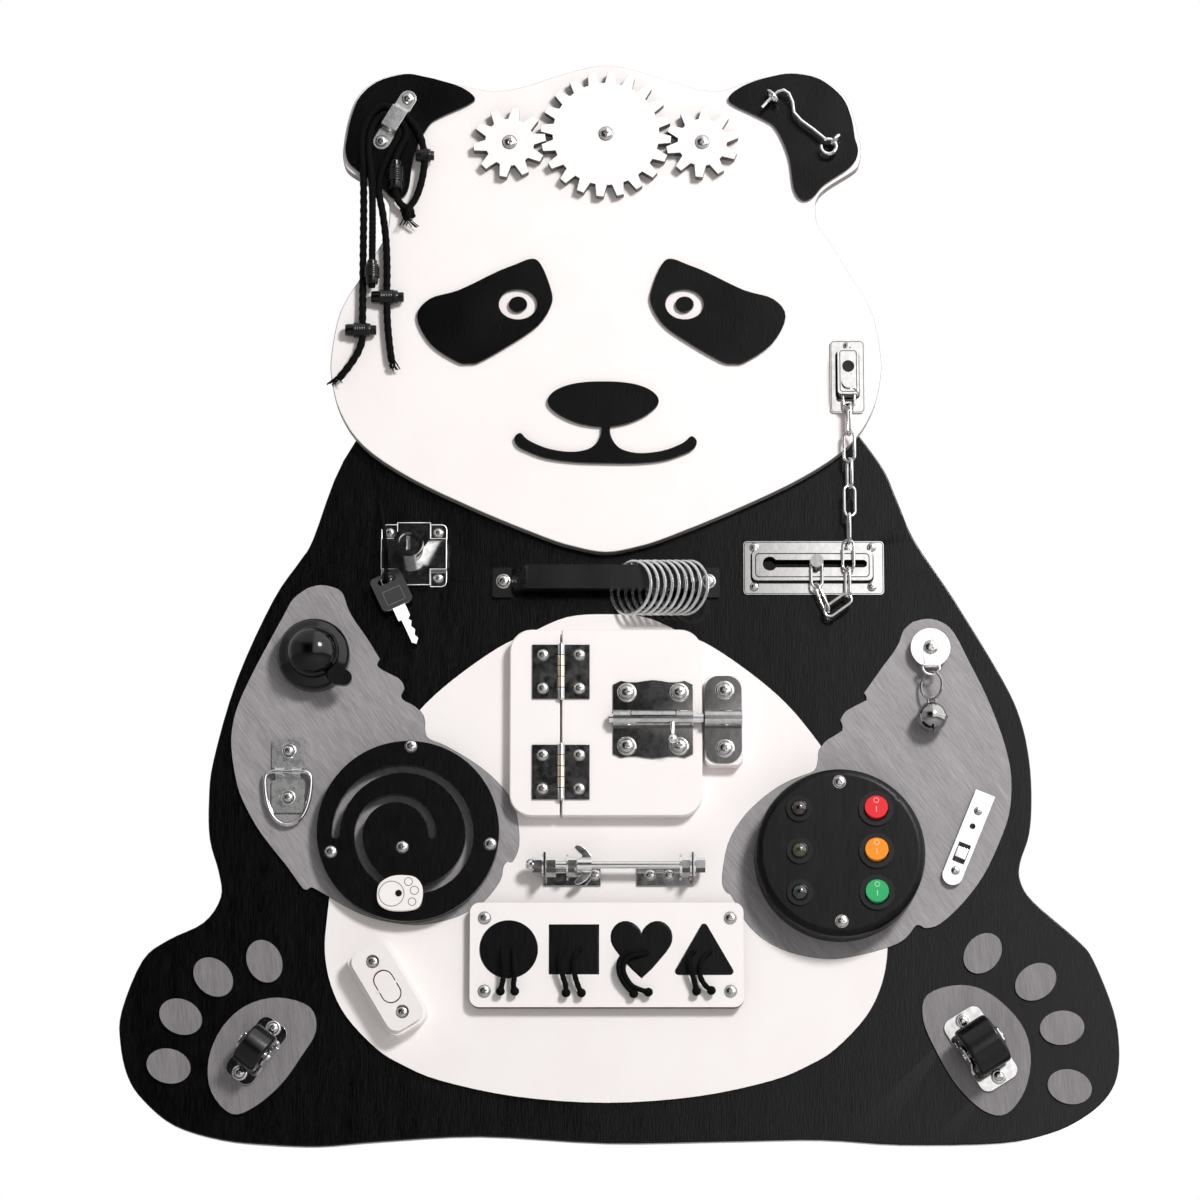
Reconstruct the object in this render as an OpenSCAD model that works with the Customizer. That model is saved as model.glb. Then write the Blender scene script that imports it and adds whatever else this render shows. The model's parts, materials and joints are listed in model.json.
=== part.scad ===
// Wooden busy board in the shape of a sitting panda.
// The board stands upright: X runs to the right, Z runs up and the front faces -Y.
// The origin lies on the back face of the body board, at the height of its chest.

/* [Boards] */
// Thickness of the black body board
body_t = 10; // [8:1:14]
// Thickness of the white head board
head_t = 10; // [8:1:14]
// Thickness of the panels that lie on the boards
panel_t = 3; // [2:0.5:5]

/* [Gears] */
// Teeth on the middle gear
big_teeth = 20; // [20:2:20]
// Teeth on each side gear
small_teeth = 10; // [10:1:10]
// Pitch diameter for each tooth
gear_module = 4.19; // [3.5:0.01:5]
// Thickness of a gear
gear_t = 7; // [5:0.5:9]

/* [Door] */
// Width of the swinging door
door_w = 89; // [76:1:96]
// Height of the door and of its fixed strip
door_h = 120; // [105:1:130]
// Thickness of the door, its strip and the bolt block
door_t = 10; // [8:1:14]
// Width of the fixed strip
strip_w = 32; // [28:1:34]
// Height of a hinge
hinge_h = 35; // [28:1:40]
// Diameter of the sliding bolt
bolt_d = 6; // [4:0.5:7]

/* [Maze] */
// Diameter of the maze disc
maze_d = 115; // [112:1:120]
// Thickness of the maze disc
maze_t = 10; // [8:1:14]
// Width of the groove at the front
groove_w = 5.2; // [4.6:0.1:7]

/* [Light box] */
// Diameter of the light box
box_d = 107; // [104:1:112]
// Height of the light box above the panel
box_h = 25; // [22:1:32]
// Thickness of the light box wall
box_wall = 5; // [3:0.5:6]
// Diameter of the rocker switch caps
rocker_d = 14.4; // [12:0.1:16]

/* [Shape board] */
// Width of the shape board
frame_w = 172; // [166:1:190]
// Height of the shape board
frame_h = 66; // [62:1:76]
// Thickness of the shape board and its inserts
frame_t = 8; // [6:1:12]

/* [Handle and rings] */
// Height of the handle bar across its face
bar_h = 15.5; // [9:0.5:16]
// Outer diameter of a key ring
ring_d = 36; // [34:0.5:40]
// Number of key rings
ring_count = 9; // [3:1:9]

/* [Wheels] */
// Diameter of the right castor wheel
wheel_d = 33; // [25:1:38]
// Width of the right castor wheel
wheel_w = 22; // [12:1:24]
// Diameter of the left castor wheel
small_wheel_d = 27; // [22:1:34]
// Width of the left castor wheel
small_wheel_w = 16; // [12:1:20]

/* [Threaded rod] */
// Diameter of the threaded rod
rod_d = 4.8; // [4:0.1:6]

/* [Hidden] */
$fn = 48;

// Depth levels, from the back face at 0 towards the front
body_y = -body_t;
head_y = body_y - head_t;
panel_y = body_y - panel_t;
patch_y = head_y - panel_t;
door_y = panel_y - door_t;
maze_y = panel_y - maze_t;
box_y = panel_y - box_h;
frame_y = panel_y - frame_t;
sheet_t = 1.2;
plate_t = 1.5;

// Clearances
run_gap = 0.1;
slip_gap = 0.4;
seat_gap = 0.3;

// Screws
shank_r = 1.7;
head_r = 3.7;
head_h = 2;
cup_t = 0.9;
axle_r = 2.6;
body_bite = body_y + 6;
head_bite = head_y + 8;

// ---- curves and shared shapes ----

function bend(a, b, c, d, t) = 0.5 * (2 * b + (c - a) * t + (2 * a - 5 * b + 4 * c - d) * t * t
    + (3 * b - a - 3 * c + d) * t * t * t);

// Closed curve through the points p, with n steps between two points
function closed(p, n = 4) = let (m = len(p)) [for (i = [0 : m - 1], k = [0 : n - 1])
    bend(p[(i + m - 1) % m], p[i], p[(i + 1) % m], p[(i + 2) % m], k / n)];

// Open curve through the points p
function open_curve(p, n = 4) = let (m = len(p) - 1) concat([for (i = [0 : m - 1], k = [0 : n - 1])
    bend(p[max(i - 1, 0)], p[i], p[i + 1], p[min(i + 2, m)], k / n)], [p[m]]);

// Half an outline, from the axis to the axis, and its mirror image
function both_sides(p) = concat(p, [for (i = [len(p) - 2 : -1 : 1]) [-p[i][0], p[i][1]]]);

function mirrored(p, axis) = [for (i = [len(p) - 1 : -1 : 0]) [2 * axis - p[i][0], p[i][1]]];

function oval(a, b, n = 36) = [for (i = [0 : n - 1]) [a * cos(360 * i / n), b * sin(360 * i / n)]];

function unit(v) = v / norm(v);

function ring_at(c, t, r, n, ref) = let (s = unit(cross(t, ref)), u = cross(s, t))
    [for (k = [0 : n - 1]) c + r * (cos(360 * k / n) * s + sin(360 * k / n) * u)];

// Tube along an open path
module tube(p, r, ref = [0, 1, 0], n = 8) {
    m = len(p) - 1;
    polyhedron(
        points = [for (i = [0 : m])
            each ring_at(p[i], unit(p[min(i + 1, m)] - p[max(i - 1, 0)]), r, n, ref)],
        faces = concat([[for (k = [n - 1 : -1 : 0]) k]],
            [for (i = [0 : m - 1], k = [0 : n - 1])
                [i * n + k, i * n + (k + 1) % n, (i + 1) * n + (k + 1) % n, (i + 1) * n + k]],
            [[for (k = [0 : n - 1]) m * n + k]]));
}

// Tube along a closed path
module loop_tube(p, r, ref, n = 8) {
    m = len(p);
    polyhedron(
        points = [for (i = [0 : m - 1])
            each ring_at(p[i], unit(p[(i + 1) % m] - p[(i + m - 1) % m]), r, n, ref)],
        faces = [for (i = [0 : m - 1], k = [0 : n - 1])
            [i * n + k, i * n + (k + 1) % n, ((i + 1) % m) * n + (k + 1) % n,
                ((i + 1) % m) * n + k]]);
}

// Flat piece with its back at depth back, drawn in X and Z
module slab(back, t) translate([0, back, 0]) rotate([90, 0, 0]) linear_extrude(t) children();

// Round piece along the depth, from back towards the front
module peg(p, back, h, r) translate([p[0], back, p[1]]) rotate([90, 0, 0]) cylinder(h = h, r = r);

// Turns anticlockwise as seen from the front
module turned(a) rotate([0, -a, 0]) children();

module placed(p, a = 0) translate([p[0], 0, p[1]]) turned(a) children();

module rounded(w, h, r) {
    x = w / 2 - r;
    z = h / 2 - r;
    circle_points = [for (q = [[x, z, 0], [-x, z, 90], [-x, -z, 180], [x, -z, 270]], a = [0 : 15 : 90])
        [q[0] + r * cos(q[2] + a), q[1] + r * sin(q[2] + a)]];
    polygon(circle_points);
}

// Pan-head screw whose head bears on depth seat and whose shank ends at depth tip
module screw(p, seat, tip, r = head_r) {
    peg(p, seat, head_h, r);
    peg(p, tip, tip - seat, shank_r);
}

// Cup washer of radius r on a face at depth seat, with its own screw in it
module washered(p, seat, tip, r, screw_r = 3.2) {
    slab(seat, cup_t) translate(p) difference() {
        circle(r = r);
        circle(r = shank_r + run_gap);
    }
    screw(p, seat - cup_t - run_gap, tip, screw_r);
}

// Holes for a list of screws, from depth tip to the front
module drilled(spots, tip, r = shank_r + run_gap)
    for (p = spots) peg(p, tip + 0.5, 80, r);

// ---- places of the fittings, as [X, Z] ----

gear_c = [0, 310];
gear_drop = 5.2;
big_pitch_r = gear_module * big_teeth / 2;
small_pitch_r = gear_module * small_teeth / 2;
big_tip_r = big_pitch_r + 0.6;
small_tip_r = small_pitch_r + 2.8;
tooth_h = 7.8;
centre_gap = big_pitch_r + small_pitch_r;
left_gear_c = gear_c + centre_gap * [-cos(gear_drop), -sin(gear_drop)];
right_gear_c = gear_c + centre_gap * [cos(gear_drop), -sin(gear_drop)];
gear_axles = [gear_c, left_gear_c, right_gear_c];

clamp_spots = [[-129, 335], [-146, 306]];
anchor_c = [155.5, 148.5];
anchor_size = [22, 48];
anchor_spots = [anchor_c + [0, 20.5], anchor_c - [0, 20.5]];
track_c = [133, 24.6];
track_size = [90, 35];
track_spots = [for (x = [-38, 37.2], z = [-12.4, 13.4]) track_c + [x, z]];
track_level = track_c[1] + 1.6;
slot_from = 104.8;
slot_to = 164.5;
slider_x = 134.4;

lock_c = [-123, 32.7];
lock_size = [42, 41];
lock_depth = 7;
lock_spots = [for (x = [-15.5, 15.5], z = [-14.8, 14.8]) lock_c + [x, z]];
cylinder_c = lock_c + [-2.7, 2.9];
cylinder_r = 9.5;
cylinder_h = 22;
plug_r = 6;

handle_z = 15.5;
handle_spots = [[-65.6, handle_z], [65.6, handle_z]];

bell_c = [-186, -34];
bell_r = 23;

ring_plate_x = -201.5;
ring_hinge_z = -108.7;
ring_plate_spots = [[ring_plate_x, -95], [ring_plate_x, -125]];
ring_hinge_y = panel_y - 3.6;
lash_r = 1.5;

maze_c = [-125, -147.5];
maze_spots = [[-123.5, -93.5], [-173.5, -161], [-73, -156], [-128.5, -158]];
groove_z = -150;
groove_a = [-128.3, 42.3];
groove_b = [-121.1, 35.1];
groove_c = [-132.8, 23.4];
knob_angle = 258;

box_c = [147, -163.5];
box_spots = [box_c + [-0.3, 44.6], box_c + [0.3, -43.7]];
switch_bezel_r = rocker_d / 2 + 3.8;
// The outer lamps and switches stand on one circle inside the wall
row_reach = box_d / 2 - box_wall - switch_bezel_r - 2;
lamp_x = -row_reach * 0.724;
rocker_x = row_reach * 0.634;
row_z = [row_reach * 0.7746, row_reach * 0.0225, -row_reach * 0.7211];

door_c_z = -78;
hinge_x = -28.6;
door_gap = 1.2;
door_left = hinge_x + door_gap / 2;
strip_right = hinge_x - door_gap / 2;
knuckle_r = 2.2;
hinge_y = door_y - knuckle_r;
hinge_zs = [-45.6, -110.2];
hinge_half_w = 18.2;
hinge_screw_x = 11.6;
hinge_screw_z = 10.8;
strip_spots = [for (z = hinge_zs, s = [-1, 1]) [hinge_x - hinge_screw_x, z + s * hinge_screw_z]];
leaf_spots = [for (z = hinge_zs, s = [-1, 1]) [hinge_x + hinge_screw_x, z + s * hinge_screw_z]];

bolt_z = -76.3;
guide_x = [4.4, 55];
guide_h = 50.5;
guide_spots = [for (x = [13.2, 46.4], s = [-1, 1]) [x, bolt_z + s * 17.2]];
keeper_x = [62.5, 86];
keeper_h = 56;
keeper_spots = [for (s = [-1, 1]) [75.2, bolt_z + s * 18.6]];
bolt_r = bolt_d / 2;
barrel_r = bolt_r + 2.2;
bolt_y = door_y - barrel_r - 0.1;
bolt_knob_x = 42;

rod_z = -169.5;
rod_r = rod_d / 2;
bracket_base_z = -174.5;
bracket_w = 13.5;
rod_y = panel_y - 11;
left_ear_x = -39.4;
right_ear_x = 55.4;
bracket_len = 36;
left_bracket_spots = [[-7.3, bracket_base_z]];
right_bracket_spots = [[27.6, bracket_base_z], [39.6, bracket_base_z]];

frame_c = [0.4, -226];
frame_spots = [for (x = [-76.8, 77.6], z = [-23, 23.2]) frame_c + [x, z]];
circle_c = [-61.2, -222.6];
circle_r = 17.9;
square_c = [-20.2, -222.6];
square_w = 30.6;
heart_c = [22.2, -222.6];
triangle_c = [61.5, -222.6];

switch_c = [-136.8, -247];
switch_angle = 31;
switch_size = [29, 60];
switch_h = 16;
switch_spots = [for (s = [-1, 1]) switch_c + 18.3 * s * [-sin(switch_angle), cos(switch_angle)]];

left_castor_c = [-219, -285.5];
left_castor_angle = -36.5;
right_castor_c = [234.6, -284.4];
right_castor_angle = 32;
// From the middle of a castor to its screws
function castor_hole(wheel) = wheel / 2 + 4;
function castor_spots(c, angle, wheel) =
    [for (s = [-1, 1]) c + castor_hole(wheel) * s * [-sin(angle), cos(angle)]];
left_castor_spots = castor_spots(left_castor_c, left_castor_angle, small_wheel_d);
right_castor_spots = castor_spots(right_castor_c, right_castor_angle, wheel_d);

hanger_c = [206.5, -29.3];
hanger_t = 8;

flush_c = [228.2, -151.6];
flush_angle = -22.5;
flush_size = [13, 63];
flush_spots = [[235.3, -134], [220.3, -172]];
flush_dimple = [231.6, -143.8];

body_spots = concat(track_spots, lock_spots, handle_spots, ring_plate_spots, maze_spots,
    box_spots, strip_spots, keeper_spots, left_bracket_spots, right_bracket_spots, frame_spots,
    switch_spots, left_castor_spots, right_castor_spots, flush_spots, [hanger_c]);

// ---- boards and panels ----

body_outline = [[-100, 155], [-137, 138], [-169, 96], [-188, 44], [-196, 30], [-213, 4],
    [-235.5, -48], [-249.5, -100], [-252, -126], [-251, -151], [-245, -172], [-243.5, -188], [-254, -204],
    [-276, -215], [-292, -228], [-304.5, -260], [-305, -280], [-300, -301], [-290, -316],
    [-270, -332], [-240, -341], [-210, -344], [-179, -345], [-141, -342], [-79, -338.8], [0, -343],
    [71, -342], [134, -341], [184, -344], [246, -343], [277, -337], [297, -328], [312, -316],
    [320, -302], [322, -283], [319, -260], [307, -228], [297, -215], [270, -191], [262, -178],
    [262, -166], [268, -148], [270, -126], [269, -100], [264, -74], [253, -48], [223, 4], [198, 43],
    [187, 70], [175, 96], [140, 138], [100, 155], [0, 160]];

module body_board() color("#1d1c1c") difference() {
    slab(0, body_t) polygon(closed(body_outline, 4));
    drilled(body_spots, body_bite);
    drilled([key_cord_hole], body_bite, key_cord_r + 0.2);
}

head_half = [[0, 359], [22, 355], [52, 345], [66, 342], [76, 342], [97, 349], [122, 354],
    [141, 350], [156, 338], [162, 322], [166, 303], [165, 293], [161, 287], [144, 276], [137, 268],
    [136, 258], [138, 249], [145, 239], [159, 215], [167, 202], [173, 188], [177, 165], [177, 148],
    [171, 125], [156, 103], [126, 82], [83, 61], [40, 43], [20, 36.5], [0, 33]];

// Left ear, from its lower end to the forehead; below it the head is the mirror of the right side
left_ear = [[-141.5, 249], [-140.5, 258], [-142, 268], [-150, 276], [-166, 286], [-170.5, 293],
    [-171, 303], [-168, 322], [-162, 338], [-150, 348.5], [-133, 353.5], [-117, 351.5],
    [-97, 346], [-76, 341.5], [-66, 342], [-52, 345], [-22, 355]];
jaw = [for (p = both_sides(head_half)) if (p[0] < 0 && p[1] < 242) p];
head_outline = concat(head_half, jaw, left_ear);

module head_board() color("white") difference() {
    slab(body_y, head_t) polygon(closed(head_outline, 4));
    drilled(concat(clamp_spots, anchor_spots, hook_eye_spots), head_bite);
    drilled(gear_axles, head_bite, axle_r + run_gap);
}

belly_half = [[0, -6], [25, -8], [48, -18], [69, -28], [98, -49], [120, -70], [143, -101],
    [157, -126], [167, -152], [173, -178], [176, -203], [177, -223], [173, -244], [163, -264],
    [144, -284], [128, -294], [104, -304], [57, -314], [0, -318]];

module belly_panel() color("white") difference() {
    slab(body_y, panel_t) difference() {
        polygon(closed(both_sides(belly_half), 4));
        left_arm_shape(0.2);
        right_arm_shape(0.2);
    }
    drilled(concat(keeper_spots, left_bracket_spots, right_bracket_spots, frame_spots,
        switch_spots, strip_spots), body_y);
}

// The arms are pieces of curve that meet in the corners of the fur
left_arm = [
    [[-191, 11], [-183, 13], [-174, 11.5], [-169, 8.3], [-166.9, 3.9], [-165, -2], [-161, -9.5],
        [-153, -21], [-144.2, -35.2]],
    [[-144.2, -35.2], [-145.9, -39], [-143.5, -41.7], [-137.7, -44.9], [-132.6, -47.5],
        [-129.4, -51.1], [-128.4, -54.7]],
    [[-128.4, -54.7], [-130.4, -58.9], [-128.9, -62], [-124.1, -64.4], [-119.7, -67.6],
        [-116.4, -71.5], [-115.1, -76.7], [-115.1, -81.9], [-112.5, -87], [-101, -92],
        [-80, -105], [-65, -119], [-58.4, -130], [-55.7, -142], [-55.2, -156], [-59, -165.5],
        [-62.3, -165.4]],
    [[-62.3, -165.4], [-65, -169], [-67, -178], [-77, -191], [-88, -198], [-101, -203],
        [-120, -206], [-142, -203], [-159, -197], [-175, -188], [-181, -184.5]],
    [[-181, -184.5], [-186, -182], [-191, -183], [-202, -168], [-218, -148], [-228, -131],
        [-234, -116], [-238, -92], [-237, -76], [-233, -62], [-225, -44], [-216, -26],
        [-206, -7], [-200, 4], [-191, 11]]];
right_arm = [
    [[196, -11], [205, -9], [214, -11], [222, -18], [232, -38], [242, -59], [251, -83],
        [256, -103], [257, -118], [255, -136], [248, -155], [238, -175], [225, -192],
        [211, -205], [202, -208], [198.5, -206.5]],
    [[198.5, -206.5], [195, -206.5], [190, -213], [183, -218], [168, -223], [149, -227],
        [134, -227], [115, -223], [99, -215], [88, -204], [82.6, -193.5], [78.5, -186.6]],
    [[78.5, -186.6], [75, -184], [73.3, -176], [77, -155], [85, -140], [96, -128], [109, -118],
        [121, -112], [132, -107.7], [134.5, -101], [135.2, -94.5], [139.8, -88.3], [145, -85],
        [150.2, -81.6]],
    [[150.2, -81.6], [150.4, -78.5], [149, -74.8]],
    [[149, -74.8], [152.1, -69.6], [157.2, -66.4], [162.9, -63.4], [166, -61.9]],
    [[166, -61.9], [165.6, -59.2], [164.3, -57.3]],
    [[164.3, -57.3], [172.1, -46.2], [177.2, -39.1], [183.1, -31.3], [187.3, -24], [190, -16.5],
        [196, -11]]];

module arm_shape(arm, grow = 0) {
    p = [for (part = arm, q = open_curve(part, 3)) if (q != part[len(part) - 1]) q];
    m = len(p);
    polygon([for (i = [0 : m - 1])
        let (t = unit(p[(i + 1) % m] - p[(i + m - 1) % m])) p[i] + grow * [-t[1], t[0]]]);
}

module left_arm_shape(grow = 0) arm_shape(left_arm, grow);
module right_arm_shape(grow = 0) arm_shape(right_arm, grow);

left_pad = [[-206, -252], [-226, -257], [-241, -271], [-249, -291], [-247, -311], [-234, -325],
    [-219, -320], [-203, -306], [-191, -289], [-182, -273], [-186, -258]];
right_pad = [[223, -244], [242, -250], [260, -268], [266, -288], [262, -310], [250, -325],
    [236, -323], [220, -308], [208, -288], [199, -266], [202, -250]];
toes = [[-215, -229, -65], [-247, -239, -44], [-267, -264, -26], [-274, -295, -15],
    [237, -224, 51], [270, -242, 35], [286, -271, 6], [290, -308, -14]];
toe_size = [14, 10.8];

module grey_panels() color("#8d888a") difference() {
    slab(body_y, panel_t) {
        left_arm_shape();
        right_arm_shape();
        polygon(closed(left_pad, 4));
        polygon(closed(right_pad, 4));
        for (q = toes) translate([q[0], q[1]]) rotate(q[2]) polygon(oval(toe_size[0], toe_size[1]));
    }
    drilled(concat(ring_plate_spots, maze_spots, box_spots, left_castor_spots,
        right_castor_spots, flush_spots, [hanger_c], strip_spots, keeper_spots), body_y);
}

ear_patch = [[80, 336], [86, 342], [96, 347], [108, 350.5], [121, 352.5], [139, 349], [154, 336.5],
    [160, 322], [162, 309], [164, 299], [159, 289], [142, 277], [134, 268], [127, 267], [122, 275],
    [119, 296], [111, 315], [102, 322], [84, 331]];
left_ear_patch = [[-85.5, 336], [-94, 343], [-107, 347.5], [-119, 350.5], [-131, 352.2],
    [-149, 347], [-160.5, 336.5], [-166, 322], [-168.5, 309], [-169.3, 299], [-165, 289.5],
    [-148, 277.5], [-140, 269], [-133, 267.5], [-128, 275], [-125, 296], [-116, 316], [-107, 323],
    [-90, 331]];
face_axis = -3;
eye_patch = [[-48, 227], [-42, 223], [-36, 208], [-35, 197], [-43.5, 182.5], [-61, 169.8],
    [-80.5, 158.4], [-88, 157], [-96, 158.2], [-113, 170], [-122, 188], [-114, 200], [-95, 206], [-71, 218],
    [-59, 223]];
eye_c = [-56.8, 196.5];
eye_size = [12.4, 10.2];
pupil_size = [5.9, 5.1];
nose_x = -1.8;
nose_half = [[0, 145], [10, 144.7], [19.6, 143.4], [28, 140.6], [33.5, 136.8], [35.7, 132.8],
    [34.6, 128.6], [30, 124.2], [24, 120.6], [16, 117.4], [7, 115.5], [0, 115.1]];
mouth_lean = 1.1;
mouth_half = [[0, 116.6], [2.5, 116.4], [3, 110], [6, 104], [11, 100], [20, 98], [30, 98.5],
    [40, 100.8], [50, 105.4], [55, 109.8], [58.6, 106.4], [56.2, 101], [48, 97], [38, 93.6],
    [22, 91.5], [0, 91]];

module eye(outline, centre) {
    difference() {
        polygon(closed(outline, 4));
        translate(centre) polygon(oval(eye_size[0], eye_size[1]));
    }
    translate(centre) polygon(oval(pupil_size[0], pupil_size[1]));
}

module face_patches() color("#161516") difference() {
    slab(head_y, panel_t) {
        polygon(closed(ear_patch, 4));
        polygon(closed(left_ear_patch, 4));
        eye(eye_patch, eye_c);
        eye(mirrored(eye_patch, face_axis), [2 * face_axis - eye_c[0], eye_c[1]]);
        translate([nose_x, 0]) polygon(closed(both_sides(nose_half), 3));
        translate([0.5, nose_half[0][1]]) rotate(-mouth_lean) translate([0, -nose_half[0][1]])
            polygon(closed(both_sides(mouth_half), 3));
    }
    drilled(concat(clamp_spots, hook_eye_spots), head_y);
}

// ---- gears ----

tooth_tip_w = 4.8;
tooth_root_w = 7.6;

function gear_points(teeth, tip_r) = let (root_r = tip_r - tooth_h, step = 360 / teeth,
    top = asin(tooth_tip_w / 2 / tip_r), foot = asin(tooth_root_w / 2 / root_r))
    [for (i = [0 : teeth - 1], q = [[root_r, -foot], [tip_r, -top], [tip_r, top], [root_r, foot]])
        [q[0] * cos(i * step + q[1]), q[0] * sin(i * step + q[1])]];

module gear(centre, teeth, tip_r, phase) color("white")
    placed(centre) slab(head_y - 0.5, gear_t) difference() {
        rotate(phase) polygon(gear_points(teeth, tip_r));
        circle(r = axle_r + run_gap);
    }

// The middle gear has a tooth on the line to the right gear
big_phase = -gear_drop;
function small_phase(direction) = direction + 180 + 180 / small_teeth
    - big_teeth / small_teeth * (big_phase - direction);

module big_gear() gear(gear_c, big_teeth, big_tip_r, big_phase);
module right_gear() gear(right_gear_c, small_teeth, small_tip_r, small_phase(-gear_drop));
module left_gear() gear(left_gear_c, small_teeth, small_tip_r, small_phase(180 + gear_drop));

// ---- lacing on the left ear ----

cord_r = 1.85;
cord_y = patch_y - 2.2;
lacing_x = -2;
function cord_route(p) = [for (q = p) [q[0], cord_y + q[1], q[2]]];

// Long cord: up from its tail, under the clamp, round the short loop, back under the clamp and down
long_cord = [[-170, 0, 146], [-161, 0, 158], [-155.5, 0, 170], [-155, 0, 186], [-155, 0, 209],
    [-155, 0, 235], [-155, 0, 262], [-155.5, 0, 284], [-156.5, 0, 298], [-156, 0, 311],
    [-151.5, 0, 323], [-144.5, 0, 329.5], [-138.5, 0, 328.4], [-132.9, 0, 325],
    [-126.5, 0, 321.2], [-120.5, -1.5, 313], [-117, -2.6, 302], [-115.8, -2.6, 290],
    [-118, -2, 276], [-122, -1, 265.5], [-127, -1, 260.5], [-132, -2, 264], [-134.5, -3, 272],
    [-134.5, -3, 282], [-134.5, -3, 292], [-131.5, -2, 300.5], [-128, 0, 308.5],
    [-129.5, 0, 317], [-135.5, 0, 320.5], [-141.5, 0, 324], [-148.3, 0, 318.5], [-152, 0, 308],
    [-152, 0, 296], [-150.3, -2, 284], [-149.3, -4, 268], [-149, -4, 248], [-149, -4, 226],
    [-149, -4, 206]];
// Short cord: from under the clamp down to its frayed end
short_cord = [[-144, 0, 319.4], [-138.1, 0, 316], [-132.6, 0, 311.5], [-137.8, 0, 299],
    [-142.5, 0, 288], [-145.5, 0, 274], [-142.5, 0, 256], [-140.3, 0, 238], [-139.5, 0, 220],
    [-139.5, 0, 202], [-139, 0, 186], [-137.8, 0, 172], [-136, 0, 158]];

module lacing_cords() color("#141314") translate([lacing_x, 0, 0]) {
    tube(cord_route(long_cord), cord_r);
    tube(cord_route(short_cord), cord_r);
    translate([-126, cord_y - 1, 256.5]) sphere(r = 3, $fn = 24);
}

// Cord stopper: a barrel with a hole for the cord along Z
module stopper(x, y, z, length, r, across) color("#141314") translate([lacing_x, 0, 0]) difference() {
    translate([x, cord_y + y, z]) if (across) rotate([0, 90, 0])
        cylinder(h = length, r = r, center = true);
    else cylinder(h = length, r = r, center = true);
    translate([x + (across ? across - 100 : 0), cord_y + y, z - 30])
        cylinder(h = 60, r = cord_r + 0.7);
}

module cord_stoppers() {
    stopper(-156, 0, 178.5, 19, 4.4, 101);
    stopper(-149, -4, 216, 15, 4.4, 0);
    stopper(-139, 0, 200.5, 21, 4.6, 99.5);
    stopper(-134.5, -3, 282, 18, 4.6, 0);
    stopper(-115.5, -2.6, 295, 12, 4.4, 99.3);
}

clamp_angle = atan2(clamp_spots[0][1] - clamp_spots[1][1], clamp_spots[0][0] - clamp_spots[1][0]);
clamp_mid = (clamp_spots[0] + clamp_spots[1]) / 2;
clamp_half = norm(clamp_spots[0] - clamp_spots[1]) / 2;
clamp_w = 11;
clamp_rise = 6.4;

// Bent strap that holds the cords on the ear, and the two screw eyes of the hook
module ear_fittings() color("#c9c9cc") {
    placed(clamp_mid, clamp_angle) difference() {
        intersection() {
            slab(patch_y, clamp_rise) rounded(2 * clamp_half + clamp_w, clamp_w, clamp_w / 2);
            translate([0, 0, -clamp_w / 2]) linear_extrude(clamp_w) polygon([
                [-clamp_half - 6, patch_y], [-clamp_half - 6, patch_y - sheet_t],
                [-10, patch_y - sheet_t], [-7.5, patch_y - clamp_rise],
                [7.5, patch_y - clamp_rise], [10, patch_y - sheet_t],
                [clamp_half + 6, patch_y - sheet_t], [clamp_half + 6, patch_y],
                [9, patch_y], [6.5, patch_y - clamp_rise + sheet_t],
                [-6.5, patch_y - clamp_rise + sheet_t], [-9, patch_y]]);
        }
        drilled([[-clamp_half, 0], [clamp_half, 0]], head_y);
    }
    for (e = hook_eyes) placed([e[0], e[1]], e[2]) {
        translate([0, hook_y, 0]) rotate([0, 90, 0])
            rotate_extrude() translate([e[3], 0]) circle(r = 1.1, $fn = 16);
        peg([0, 0], head_bite, head_bite - hook_y - e[3] - 0.6, 1.3);
    }
}

// ---- cabin hook on the right ear ----

hook_y = patch_y - 7.2;
hook_loop_c = [144.5, 300.5];
hook_loop_r = 5;
hook_wire_r = 1.2;
hook_eyes = [[148.8, 305, -40, 3.8], [108.5, 334.5, 40, 4.6]];
hook_eye_spots = [for (e = hook_eyes) [e[0], e[1]]];
hook_line = [[140, 307.5], [134.7, 312], [126.6, 318.2], [122.2, 323.5], [121.4, 330.5],
    [119, 336.4], [115.6, 338.8], [112, 337.6], [108.5, 334.4], [104.5, 330.2], [101.5, 326.8]];

module cabin_hook() color("#c9c9cc") {
    loop = [for (a = [-190 : 24 : 122]) hook_loop_c + hook_loop_r * [cos(a), sin(a)]];
    path = concat(loop, [[142.2, 305.6]], hook_line);
    tube([for (p = open_curve(path, 1)) [p[0], hook_y, p[1]]], hook_wire_r);
}

// ---- door chain ----

housing_rise = 12;
channel_rise = 7;
channel_wall = 1.2;
slot_half = 2.5;

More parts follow.
